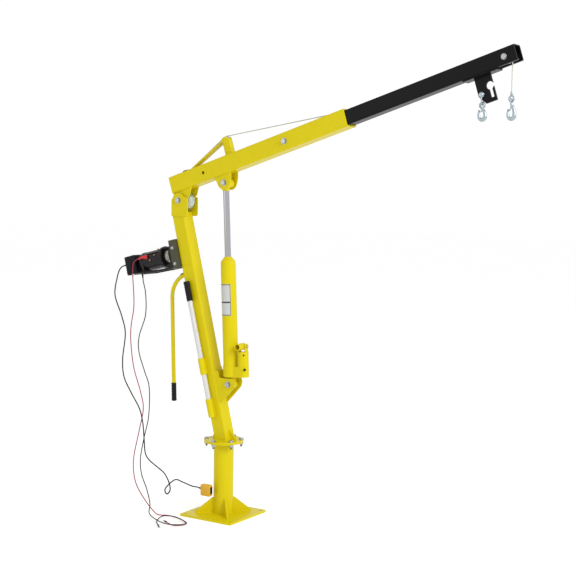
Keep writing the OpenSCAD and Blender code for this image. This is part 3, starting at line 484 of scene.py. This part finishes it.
SHEAVE_PITCH, ROLLER_PITCH = 38.55, 12.55
rope_n = PIVOT_N - SHEAVE_PITCH
up_mast = strands([(-87, 0, 794), (rope_n, 0, 825), (rope_n, 0, PIVOT_S)]
                  + arc((PIVOT_N, 0, PIVOT_S), SHEAVE_PITCH, 180, 160, 8)[1:], MAST)
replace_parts(up_mast.make("rope_to_sheave", "mast", "wire_rope"), "mast_rope")
over = arc((0, 0, 0), SHEAVE_PITCH, 191, 138, 16) + [(34, 0, 94)]
over += arc((ROLLER_X, 0, ROLLER_Z), ROLLER_PITCH, 110, 82, 6) + [(BOOM_FRONT + 22, 0, BOOM_TOP - 11)]
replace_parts(strands(over, BOOM).make("rope_over_strut", "boom", "wire_rope"), "boom_rope")

# ---- bolts and pins --------------------------------------------------------------

WASHER_T = 1.6


def thread(shape, at, axis, r, long):
    """A thread's end: fine ridges and a chamfer."""
    profile = []
    pitch = 1.5
    for i in range(int(long / pitch)):
        profile += [(r, i * pitch), (r - 0.7, i * pitch + 0.75)]
    profile.append((r - 1.2, long))
    shape.lathe(at, axis, profile, 20)


def bolt(shape, at, axis, flats, high, washer, turn_by):
    """A washer of radius washer under a hexagon head, on the face that holds the point at."""
    at, axis = Vector(at), Vector(axis)
    rim = [(washer, 0), (washer, WASHER_T - 0.3), (washer - 0.4, WASHER_T), (1, WASHER_T)]
    shape.lathe(at, axis, rim, 32)
    shape.hexagon(at + axis * WASHER_T, axis, flats, high, turn_by)


def pin(name, body, place, at, half, end, node, nut_turn=0.5):
    """A pin bolt with head, nut and thread, across two plates that are half away from at on either side."""
    s = Shape(place)
    mid = Vector(at)
    y = Vector((0, 1, 0))
    s.rod(mid - y * half, mid + y * half, 7.95, 28)
    bolt(s, mid - y * half, -y, 18, 8, 13, 0.3)
    bolt(s, mid + y * half, y, 18, 8, 13, nut_turn)
    thread(s, mid + y * (half + 9), y, 6.5, end - half - 9)
    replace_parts(s.make(name, body, "zinc"), node)


pin("pivot_bolt", "mast", MAST, (PIVOT_N, 0, PIVOT_S), 36, 48, "pivot_pin")
pin("jack_foot_bolt", "mast", JACK, (0, 0, 0), 26, 38, "jack_foot_pin")
pin("jack_head_bolt", "boom", BOOM, (230, 0, 3.5), 26, 38, "jack_head_pin", 0.8)

lock = Shape(BOOM)
lock_at = Vector((550, -34, 69))
lock.lathe(lock_at, (0, -1, 0), [(6, -6), (6, 0), (12.5, 0), (12.5, 2), (12, 2.4), (1, 2.4)], 36)
lock.hexagon(lock_at + Vector((0, -2.2, 0)), (0, -1, 0), 18, 6.8, 0.15)
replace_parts(lock.make("lock_bolt", "boom", "zinc"), "lock_screw")

BOLT_CIRCLE_R = 70
flange_bolts = Shape(FLOOR)
for i in range(6):
    a = math.radians(30 + 60 * i)
    at = Vector((BOLT_CIRCLE_R * math.cos(a), BOLT_CIRCLE_R * math.sin(a), 0))
    up = Vector((0, 0, 1))
    flange_bolts.rod(at + up * (FLANGE_LOW - 0.3), at + up * (FLANGE_TOP + 0.2), 4.9, 20)
    bolt(flange_bolts, at + up * FLANGE_TOP, up, 16, 6.5, 9.8, i * 0.4)
    bolt(flange_bolts, at + up * FLANGE_LOW, -up, 16, 8, 9.8, i * 0.7)
    thread(flange_bolts, at + up * (FLANGE_LOW - 9.3), -up, 4.8, 9)
flange_bolts.make("flange_bolts", "mast", "zinc")

bracket_bolts = Shape(MAST)
for side in (-1, 1):
    for n, s in ((-46.5, WINCH + 25), (-47.5, WINCH - 40)):
        bolt(bracket_bolts, (n, side * 44, s), (0, side, 0), 10, 5, 6.8, s * 0.01)
bracket_bolts.make("bracket_bolts", "mast", "zinc")

# ---- head ------------------------------------------------------------------------

sheave = Shape(BOOM)
rim = [(8.1, -20.5), (17, -20.5), (17, -19.6), (20, -17), (31, -17), (33, -19.4), (41, -19.4), (42, -18.6),
       (42, -17), (38.5, -7)]
groove = [(36 + 2.5 * (1 - math.cos(math.radians(a))), 3.2 * math.sin(math.radians(a)))
          for a in (-75, -45, -15, 15, 45, 75)]
sheave.lathe((0, 0, 0), (0, 1, 0), rim + groove + [(r, -d) for r, d in reversed(rim)], 64)
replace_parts(sheave.make("rope_sheave", "sheave", "sheave_steel", 30), "head_sheave")

strut = Shape(BOOM)
for y0 in (-15, 12):
    strut.prism([(STRUT_BACK, BOOM_TOP), (STRUT_FRONT, BOOM_TOP), (STRUT_FRONT, STRUT_TOP - 4),
                 (STRUT_FRONT - 4, STRUT_TOP), (STRUT_BACK + 4, STRUT_TOP), (STRUT_BACK, STRUT_TOP - 4)],
                y0, y0 + 3, 0.5)
web = [(STRUT_FRONT - 3, BOOM_TOP), (STRUT_FRONT, BOOM_TOP), (STRUT_FRONT, 168), (STRUT_FRONT - 3, 168)]
strut.prism(web, -14.9, 14.9, 0.4)
brace = [(72, BOOM_TOP + 0.2), (87, BOOM_TOP), (STRUT_BACK + 1, 161.5), (STRUT_BACK + 1, 166)]
strut.prism(brace, -15, 15, 0.6)
strut.rod((ROLLER_X, -16, ROLLER_Z), (ROLLER_X, 16, ROLLER_Z), 3.9, 24, 0.5)
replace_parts(strut.make("strut_channel", "boom", "yellow_paint"), "rope_strut")

guide = Shape(BOOM)
guide_side = [(36, 103), (92, 103), (90, 105), (50, 111), (42, 111), (36, 107)]
guide.prism(guide_side, -12, -5.5, 0.8)
guide.prism(guide_side, 5.5, 12, 0.8)
guide.make("rope_guide", "boom", "black_rubber")

# ---- winch -----------------------------------------------------------------------


def turned(shape, profile):
    """A turned form on the winch's axis; profile holds (radius, distance along the mast's x)."""
    shape.lathe((0, 0, WINCH), (1, 0, 0), profile, 64)


gear = Shape(MAST)
turned(gear, [(45, BRACKET_BACK - 0.1), (45, GEAR_BACK + 1.5), (43.5, GEAR_BACK), (22, GEAR_BACK)])
gear.block((GEAR_BACK + 0.5, -41, WINCH - 57), (BRACKET_BACK - 0.2, 41, WINCH - 5), 1.5)
for a in (60, 120, 240, 300):
    y, s = 40 * math.cos(math.radians(a)), WINCH + 40 * math.sin(math.radians(a))
    gear.rod((GEAR_BACK, y, s), (DRUM_BACK, y, s), 3.2, 16)
RAIL_END = MOTOR_BACK + 41
for y0 in (-41, 35):
    gear.prism([(GEAR_BACK + 1, WINCH - 57), (GEAR_BACK + 1, WINCH - 48), (RAIL_END, WINCH - 43),
                (RAIL_END, WINCH - 51)], y0, y0 + 6, 0.8)
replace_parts(gear.make("winch_frame", "mast", "winch_paint"), "winch_gearbox")

drum_rope = Shape(MAST)
TURN_R, TURN_PITCH, TURN_STEPS = 22.3, 4.4, 24
turns = []
for i in range(181):
    a = 2 * math.pi * i / TURN_STEPS
    n = GEAR_BACK - 4 - TURN_PITCH * i / TURN_STEPS
    turns.append((n, TURN_R * math.cos(a), WINCH + TURN_R * math.sin(a)))
drum_rope.tube(turns, 2.1, 8)
drum_rope.make("rope_on_drum", "drum", "wire_rope")

motor = Shape(MAST)
flange_end = [(20, -0.1), (44, -0.1), (45, -1.2), (45, -13), (44, -14), (40.2, -14.5), (40, -16)]
case_groove = [(40, -44), (39.3, -44.6), (39.3, -46), (40, -46.6)]
cap_end = [(40, 38), (41.2, 37), (41.2, 26), (40, 24), (37, 17), (33, 14), (24, 13), (23, 0.2)]
turned(motor, [(r, DRUM_BACK + n) for r, n in flange_end + case_groove]
       + [(r, MOTOR_BACK + n) for r, n in cap_end])
motor.block((RAIL_END - 6, -41, WINCH - 51), (RAIL_END - 0.2, 41, WINCH), 1.2)
for a in (40, 140):
    y, s = 41.85 * math.cos(math.radians(a)), WINCH + 41.85 * math.sin(math.radians(a))
    motor.rod((DRUM_BACK - 14, y, s), (MOTOR_BACK + 26, y, s), 2.4, 12)
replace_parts(motor.make("winch_motor_case", "mast", "winch_paint"), "winch_motor")

studs = Shape(MAST)
for n, y, s in ((-150, -38, 786), (-174, -41, 770), (-139, -22, 808)):
    out = Vector((0, y, s - WINCH)).normalized()
    foot = Vector((n, 0, WINCH)) + out * 39.5
    studs.rod(foot, foot + out * 7, 2.4, 16, 0.4)
    studs.hexagon(foot + out * 2, out, 7, 3, 0.2)
studs.make("motor_studs", "mast", "brass")

box = Shape(MAST)
box.block((BOX_BACK, -42, WINCH - 39), (MOTOR_BACK - 17, 42, WINCH + 39), 5)
box.block((MOTOR_BACK - 16.4, -42, WINCH - 39), (MOTOR_BACK - 0.2, 42, WINCH + 39), 3)
box.block((MOTOR_BACK - 18, -40.5, WINCH - 37.5), (MOTOR_BACK - 15, 40.5, WINCH + 37.5), 1)
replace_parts(box.make("winch_control_box", "mast", "box_plastic"), "control_box")

box_screws = Shape(MAST)
for y in (-34, 34):
    for s in (WINCH - 31, WINCH + 31):
        head = [(3.4, 0), (3.4, 0.8), (2.6, 1.6), (0.8, 1.9)]
        box_screws.lathe((BOX_BACK + 0.5, y, s), (-1, 0, 0), head, 16)
box_screws.make("box_screws", "mast", "zinc")

boot = Shape(MAST)
boot_line = [(-189, -36, 785), (-198, -39.5, 787), (-208, -42.5, 788.5), (-216, -44.5, 789),
             (-223, -45.2, 789)]
boot.tube(spline([Vector(p) for p in boot_line], 6),
          lambda share: 3.6 + 5.2 * (1 - share) ** 0.8 + 0.5 * (int(share * 24) % 3 == 1), 20)
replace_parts(boot.make("terminal_cover", "mast", "red_rubber", 60), "terminal_boot")

# ---- hooks -------------------------------------------------------------------------

TIP_PITCH, OVER_TIP_R, ROPE_FALL, BOWL_R = 20.55, 20.3, 128, 11.5
pin_at = BOOM @ Vector(HOOK_PIN) * 1000
tip_roller = BOOM @ Vector(TIP_AXLE) * 1000
rope_end = tip_roller + Vector((TIP_PITCH, 0, -ROPE_FALL))


def forged_hook(shape, at, high, mid):
    """A hook below at, in one swelling bar, with a bowl of radius mid. Gives the bowl's height."""
    low = -high + mid + 7
    path = [(0, 3), (1.5, -4), (mid - 4, low * 0.36), (mid - 0.4, low * 0.68), (mid, low)]
    path += [(mid * math.cos(math.radians(a)), low + mid * math.sin(math.radians(a)))
             for a in (-25, -50, -75, -100, -125, -150, -172)]
    path += [(-mid - 0.6, low + 6), (-mid - 0.8, low + 13), (-mid + 0.6, low + 19)]
    line = spline([Vector((at[0] + x, at[1], at[2] + z)) for x, z in path], 5)

    def bar_r(t):
        return 5.0 + 2.4 * math.sin(math.pi * min(1, t * 1.2)) ** 2 - 2.2 * max(0, t - 0.85) / 0.15

    shape.tube(line, bar_r, 20)
    shape.lathe((at[0] - mid + 0.2, at[1], at[2] + low + 17), (0.1, 0, 1),
                [(2.8, 0), (4.1, 1.4), (4.1, 3.2), (2.6, 5)], 18)
    return low


def latch(shape, at, low, mid):
    """The sprung plate across the hook's mouth, and its rivet."""
    x, y, z = at
    top_x, top_z, tip_x, tip_z = x + 0.5, z + low * 0.25, x - mid + 6.0, z + low + 14
    plate = [(top_x, top_z), (top_x - 1.6, top_z + 1.5), (tip_x - 1.2, tip_z + 1), (tip_x, tip_z)]
    shape.prism(plate, y - 3.6, y + 3.6, 0.3)
    shape.rod((top_x, y - 5.4, top_z), (top_x, y + 5.4, top_z), 1.9, 14, 0.5)


shackle = Shape(FLOOR)
x, y, z = pin_at
line = [Vector((x, y + 8, z)), Vector((x, y + 8.1, z - 13)), Vector((x, y + 8, z - 26))]
line += [Vector((x, y + 8 * math.cos(math.radians(a)), z - 26 - 8 * math.sin(math.radians(a))))
         for a in (30, 60, 90, 120, 150)]
line += [Vector((x, y - 8, z - 26)), Vector((x, y - 8.1, z - 13)), Vector((x, y - 8, z))]
shackle.tube(spline(line, 5), 2.6, 16)
for side in (-1, 1):
    ear = [(4, 0), (9.2, 0), (10, 0.8), (10, 4.4), (9.2, 5.2), (4, 5.2)]
    shackle.lathe((x, y + side * 5.4, z), (0, side, 0), ear, 32)
shackle.rod((x, y - 13.5, z), (x, y + 13.5, z), 4.95, 24, 0.6)
shackle.hexagon((x, y + 10.6, z), (0, 1, 0), 14, 4.6, 0.3)
shackle.lathe((x, y - 10.6, z), (0, -1, 0), [(7.5, 0), (7.5, 2.6), (6.2, 4.2), (2.4, 4.4)], 28)
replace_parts(shackle.make("shackle", "extension", "hook_steel"), "hook_shackle")

fixed = Shape(FLOOR)
eye = pin_at - Vector((0, 0, 36.2))
fixed.torus(eye, (0, 1, 0), 8.6, 4.0, 40, 16)
foot = eye - Vector((0, 0, 10))
low = forged_hook(fixed, foot, 46, BOWL_R)
latch(fixed, foot, low, BOWL_R)
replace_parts(fixed.make("fixed_lifting_hook", "fixed_hook", "hook_steel"), "fixed_hook")

over_tip = [tip_roller + OVER_TIP_R * Vector((math.cos(math.radians(a)), 0, math.sin(math.radians(a))))
            for a in (100, 80, 60, 40, 20, 6)]
strands(over_tip, FLOOR).make("rope_over_tip", "extension", "wire_rope")
down = [tip_roller + Vector((TIP_PITCH, 0, 1)), tip_roller + Vector((TIP_PITCH + 0.15, 0, -50)), rope_end]
hung = strands(down, FLOOR)
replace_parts(hung.make("rope_fall", "rope_hook", "wire_rope"), "rope_drop")
hung_hook = Shape(FLOOR)
ferrule = [(3.2, 0), (4.3, 1), (4.5, 2), (4.5, 13), (4.3, 14), (2.4, 15.5)]
hung_hook.lathe(rope_end + Vector((0, 0, -2)), (0, 0, 1), ferrule, 24)
tear = [Vector((0.6, 0, 0)), Vector((5, 0, -4.5)), Vector((8.8, 0, -10))]
tear += [Vector((8.6 * math.sin(math.radians(a)), 0, -12.5 - 8.6 * math.cos(math.radians(180 - a))))
         for a in (110, 135, 160, 180, 200, 225, 250)]
tear += [Vector((-8.8, 0, -10)), Vector((-5, 0, -4.5)), Vector((-0.6, 0, 0))]
hung_hook.tube([rope_end + p for p in spline(tear, 5)], 3.3, 14)
eye = rope_end - Vector((0, 0, 21))
hung_hook.torus(eye, (1, 0, 0), 7.4, 3.3, 36, 14)
foot = eye - Vector((0, 0, 8))
low = forged_hook(hung_hook, foot, 58, BOWL_R)
latch(hung_hook, foot, low, BOWL_R)
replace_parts(hung_hook.make("rope_lifting_hook", "rope_hook", "hook_steel"), "rope_hook")

tip_bolt = Shape(BOOM)
tip_x, tip_z = TIP_AXLE[0], TIP_AXLE[2]
for side in (-1, 1):
    bolt(tip_bolt, (tip_x, side * 28.1, tip_z), (0, side, 0), 16, 5.5, 10.5, 0.4)
tip_bolt.rod((tip_x, -28, tip_z), (tip_x, 28, tip_z), 4.95, 20)
tip_side = [(5, -11), (20.5, -11), (22, -10.4), (22, -9), (18, -2.4)]
tip_groove = tip_side + [(17.6, 0)] + [(r, -d) for r, d in reversed(tip_side)]
tip_bolt.lathe(TIP_AXLE, (0, 1, 0), tip_groove, 48)
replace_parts(tip_bolt.make("tip_sheave_and_bolt", "extension", "zinc"), "tip_roller")

# ---- jack --------------------------------------------------------------------------

LABEL_A0, LABEL_A1, LABEL_R, LABEL_T = -158, -42, 30.02, 0.12


def patch(shape, layer, inset, z0, z1):
    """A layer of the barrel's label: a thin bent sheet, inset from the label's two side edges by an angle."""
    a0, a1, n = LABEL_A0 + inset, LABEL_A1 - inset, 20
    r = LABEL_R + layer * LABEL_T
    rows = []
    for i in range(n + 1):
        a = math.radians(a0 + (a1 - a0) * i / n)
        c, s = math.cos(a), math.sin(a)
        rows.append([(r * c, r * s, z0), ((r + LABEL_T) * c, (r + LABEL_T) * s, z0),
                     ((r + LABEL_T) * c, (r + LABEL_T) * s, z1), (r * c, r * s, z1)])
    shape.rings(rows)


sheet = Shape(JACK)
patch(sheet, 0, 0, 274, 399)
sheet.make("barrel_label_edge", "jack", "label_white")
frame_band = Shape(JACK)
patch(frame_band, 1, 2, 275, 398)
frame_band.make("barrel_label_band", "jack", "label_black")
panels = Shape(JACK)
for z0, z1 in ((278, 324), (330, 395)):
    patch(panels, 2, 6, z0, z1)
panels.make("barrel_label_panels", "jack", "label_white")

trim = Shape(JACK)
trim.lathe((0, 0, 498), (0, 0, 1), [(17, 0), (17.2, 4), (16.6, 7.4), (13, 8.6), (12.7, 5)], 40)
trim.lathe((0, 0, 72), (0, 0, 1), [(30.2, -0.5), (32, 0), (31.6, 2.6), (30.1, 4.4)], 48)
trim.make("barrel_gland_and_seam", "jack", "yellow_paint")
plugs = Shape(JACK)
plugs.lathe((74.5, -17, 118), (0.64, -0.77, 0), [(3.4, -1), (3.4, 0.6), (2.6, 1)], 18)
plugs.lathe((79, -19.5, 62), (0.7, -0.7, 0), [(4.6, -2), (4.6, 5), (4, 6), (1.4, 6.2)], 20)
plugs.make("jack_plugs", "jack", "black_rubber")
lever_pin = Shape(JACK)
for side in (-1, 1):
    lever_pin.lathe((60 + side * 22, 0, 152), (side, 0, 0), [(4, -1), (5.4, 0), (5.4, 1.6), (4.2, 2.4)], 20)
lever_pin.make("lever_pin_heads", "pump_lever", "zinc")

# ---- grips -------------------------------------------------------------------------


def grip(name, node, place, at, axis, r, long, count):
    """A rubber grip with raised rings, rounded at its closed end."""
    profile = [(r - 1.6, 0), (r, 1.2), (r, 5)]
    pitch = (long - 14) / count
    for i in range(count):
        z = 6 + i * pitch
        profile += [(r - 0.9, z), (r - 0.9, z + pitch * 0.35), (r, z + pitch * 0.5), (r, z + pitch * 0.9)]
    profile += [(r, long - 4), (r - 0.8, long - 1.5), (r - 3, long)]
    s = Shape(place)
    s.lathe(at, axis, profile, 32)
    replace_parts(s.make(name, "mast", "black_rubber"), node)


grip("pump_handle_rubber", "pump_handle_grip", MAST, (-10, -43.55, 570), (0, 0, 1), 12.5, 80, 10)
SLANT = math.radians(1.7)
bar_down = Vector((math.sin(SLANT), 0, -math.cos(SLANT)))
bar_bend = Vector((-254, -16, 862))
grip("turning_handle_rubber", "turning_handle_grip", FLOOR, bar_bend + bar_down * 350, bar_down, 10.5, 75, 9)
# Painted shade: a black tube lies on top of the handle's bend, where the bar comes to the mast, and stands in for
# the shadow there
BEND_R = 98
handle_shade_tube = Shape(FLOOR)
handle_shade_line = []
for k in range(9):
    t = math.radians(60 + 12 * k / 8)
    px, pz = BEND_R - (BEND_R + 8) * math.cos(t), (BEND_R + 8) * math.sin(t)
    handle_shade_line.append(bar_bend + Vector((px * math.cos(SLANT) - pz * math.sin(SLANT), 0,
                                        px * math.sin(SLANT) + pz * math.cos(SLANT))))
handle_shade_tube.tube(handle_shade_line, 3.4, 16)
# The black of this tube is painted shade, not a part of the handle
handle_shade_tube.make("turning_handle_painted_shade", "mast", "black_rubber")

# ---- welds -------------------------------------------------------------------------

# FOOT_HALF is half the length of the leaning mast's cut at its foot
BASE_TOP, POST_R, GUSSET_END, RIB_HALF, FOOT_HALF = 8, 40, 110, 3.2, 30.9


def ring_bead(shape, r, from_angle, step, z, bead_r):
    """One straight bead of a weld that runs round a tube."""
    a0, a1 = (math.radians(from_angle + d) for d in (0, step))
    shape.bead((r * math.cos(a0), r * math.sin(a0), z), (r * math.cos(a1), r * math.sin(a1), z), bead_r)


base_weld = Shape(FLOOR)
for turn in (45, 135, 225, 315):
    c, s = math.cos(math.radians(turn)), math.sin(math.radians(turn))
    out = Vector((c, s, 0))
    for side in (-1, 1):
        off = Vector((-s, c, 0)) * side * RIB_HALF
        low = off + Vector((0, 0, BASE_TOP + 0.4))
        base_weld.bead(out * (POST_R + 2) + low, out * GUSSET_END + low, 2.2)
        foot = out * (POST_R + 0.2) + off
        base_weld.bead(foot + Vector((0, 0, BASE_TOP + 1)), foot + Vector((0, 0, BASE_TOP + 60)), 2.2)
    for k in range(6):
        ring_bead(base_weld, POST_R + 0.4, turn + 6 + 13 * k, 13, BASE_TOP + 0.4, 2.4)
base_weld.make("base_welds", "base", "yellow_paint", 60)

mast_weld = Shape(FLOOR)
back, front, foot_z = MAST_X - FOOT_HALF, MAST_X + FOOT_HALF, FLANGE_TOP + 0.5
corners = [(back, -30), (front, -30), (front, 30), (back, 30)]
for a, b in zip(corners, corners[1:] + corners[:1]):
    mast_weld.bead((*a, foot_z), (*b, foot_z), 2.4)
for side in (-1, 1):
    rib_y = side * RIB_HALF
    mast_weld.bead((front + 1, rib_y, foot_z), (front + 23, rib_y, foot_z), 1.9)
    mast_weld.bead((back - 1, rib_y, foot_z), (back - 23, rib_y, foot_z), 1.9)
    mast_weld.bead((-245, side * 30.6, 1193.6), (-188, side * 30.6, 1193.6), 2.2)
for k in range(24):
    ring_bead(mast_weld, POST_R + 0.3, 15 * k, 15, FLANGE_LOW - 6.5, 2.2)
mast_weld.make("mast_welds", "mast", "yellow_paint", 60)

# The jack's foot bracket, the handle's holders and the winch bracket
foot_weld = Shape(MAST)
for side in (-1, 1):
    foot_weld.bead((30.4, side * 26.4, 158), (30.4, side * 26.4, 290), 2.2)
for s0, s1 in ((97, 171), (270, 336)):
    for n in (-18.5, -1.5):
        foot_weld.bead((n, -30.4, s0 + 4), (n, -30.4, s1 - 4), 1.6)
for side in (-1, 1):
    for n0, n1 in ((-31, -14), (-8, 14)):
        foot_weld.bead((n0, side * 30.6, 713), (n1, side * 30.6, 713), 0.9)
foot_weld.make("jack_bracket_welds", "mast", "yellow_paint", 60)

# The ears and the jack's head bracket below the boom, and the strut on top of it
boom_weld = Shape(BOOM)
seam = BOOM_TOP + 0.4
for side in (-1, 1):
    boom_weld.bead((-20, side * 26.4, BOOM_LOW), (71, side * 26.4, BOOM_LOW), 2.2)
    boom_weld.bead((193, side * 26.4, BOOM_LOW), (273, side * 26.4, BOOM_LOW), 2.2)
    boom_weld.bead((STRUT_BACK + 1, side * 15.3, seam), (STRUT_FRONT, side * 15.3, seam), 1.8)
boom_weld.bead((STRUT_FRONT + 0.3, -15, seam), (STRUT_FRONT + 0.3, 15, seam), 1.8)
boom_weld.make("boom_welds", "boom", "yellow_paint", 60)

key_weld = Shape(BOOM)
for side in (-1, 1):
    for x0 in (-33, 8, 49):
        key_weld.bead((KEY_X + x0, side * 23.2, 39.6), (KEY_X + x0 + 26, side * 23.2, 39.6), 2.4)
    key_weld.bead((KEY_X + 2, side * 4.4, 35.2), (KEY_X + 61, side * 4.4, 35.2), 2)
key_weld.make("keyhole_plate_welds", "extension", "black_paint", 60)

# ---- floor and light -----------------------------------------------------------

FLOOR_HALF, FLOOR_Z = 30, -0.0005
floor_mesh = bpy.data.meshes.new("floor")
floor_corners = [(x * FLOOR_HALF, y * FLOOR_HALF, FLOOR_Z) for x, y in ((-1, -1), (1, -1), (1, 1), (-1, 1))]
floor_mesh.from_pydata(floor_corners, [], [(0, 1, 2, 3)])
floor = bpy.data.objects.new("floor", floor_mesh)
bpy.context.scene.collection.objects.link(floor)
paper = material("floor_paper", (0.93, 0.93, 0.93), 0.9, spread=0.01, bump=0.0)


def seen_level(tree, unseen, seen):
    """One strength for the camera, mirrors and glass, and another for the light that it gives."""
    path = tree.nodes.new("ShaderNodeLightPath")
    either = path.outputs["Is Camera Ray"]
    for ray in ("Is Glossy Ray", "Is Transmission Ray"):
        both = tree.nodes.new("ShaderNodeMath")
        both.operation = "MAXIMUM"
        tree.links.new(either, both.inputs[0])
        tree.links.new(path.outputs[ray], both.inputs[1])
        either = both.outputs["Value"]
    span = tree.nodes.new("ShaderNodeMapRange")
    span.inputs["To Min"].default_value = unseen
    span.inputs["To Max"].default_value = seen
    tree.links.new(either, span.inputs["Value"])
    return span.outputs["Result"]


# The paper glows a little to the camera, so that it reads as white and still takes the shadow
paper_shader = paper.node_tree.nodes["Principled BSDF"]
paper_shader.inputs["Emission Color"].default_value = (1, 1, 1, 1)
paper.node_tree.links.new(seen_level(paper.node_tree, 0.08, 0.38), paper_shader.inputs["Emission Strength"])
floor_mesh.materials.append(paper)

world = bpy.data.worlds.new("studio")
bpy.context.scene.world = world
world.use_nodes = True
tree = world.node_tree
background = tree.nodes["Background"]
background.inputs["Color"].default_value = (1, 1, 1, 1)
# The backdrop is white to the camera, and a little dimmer as a light
tree.links.new(seen_level(tree, 0.62, 1.03), background.inputs["Strength"])


def area(name, at, to, size, power):
    light = bpy.data.lights.new(name, "AREA")
    light.shape = "SQUARE"
    light.size = size
    light.energy = power
    lamp = bpy.data.objects.new(name, light)
    bpy.context.scene.collection.objects.link(lamp)
    lamp.location = at
    lamp.rotation_euler = (Vector(to) - Vector(at)).to_track_quat("-Z", "Y").to_euler()


area("key", (4.5, -1.2, 3.2), (0.2, 0, 0.9), 2.4, 112)
area("fill", (-2.5, -4.5, 2.4), (0.0, 0, 0.9), 3.0, 18)
bpy.context.scene.view_settings.view_transform = "Standard"
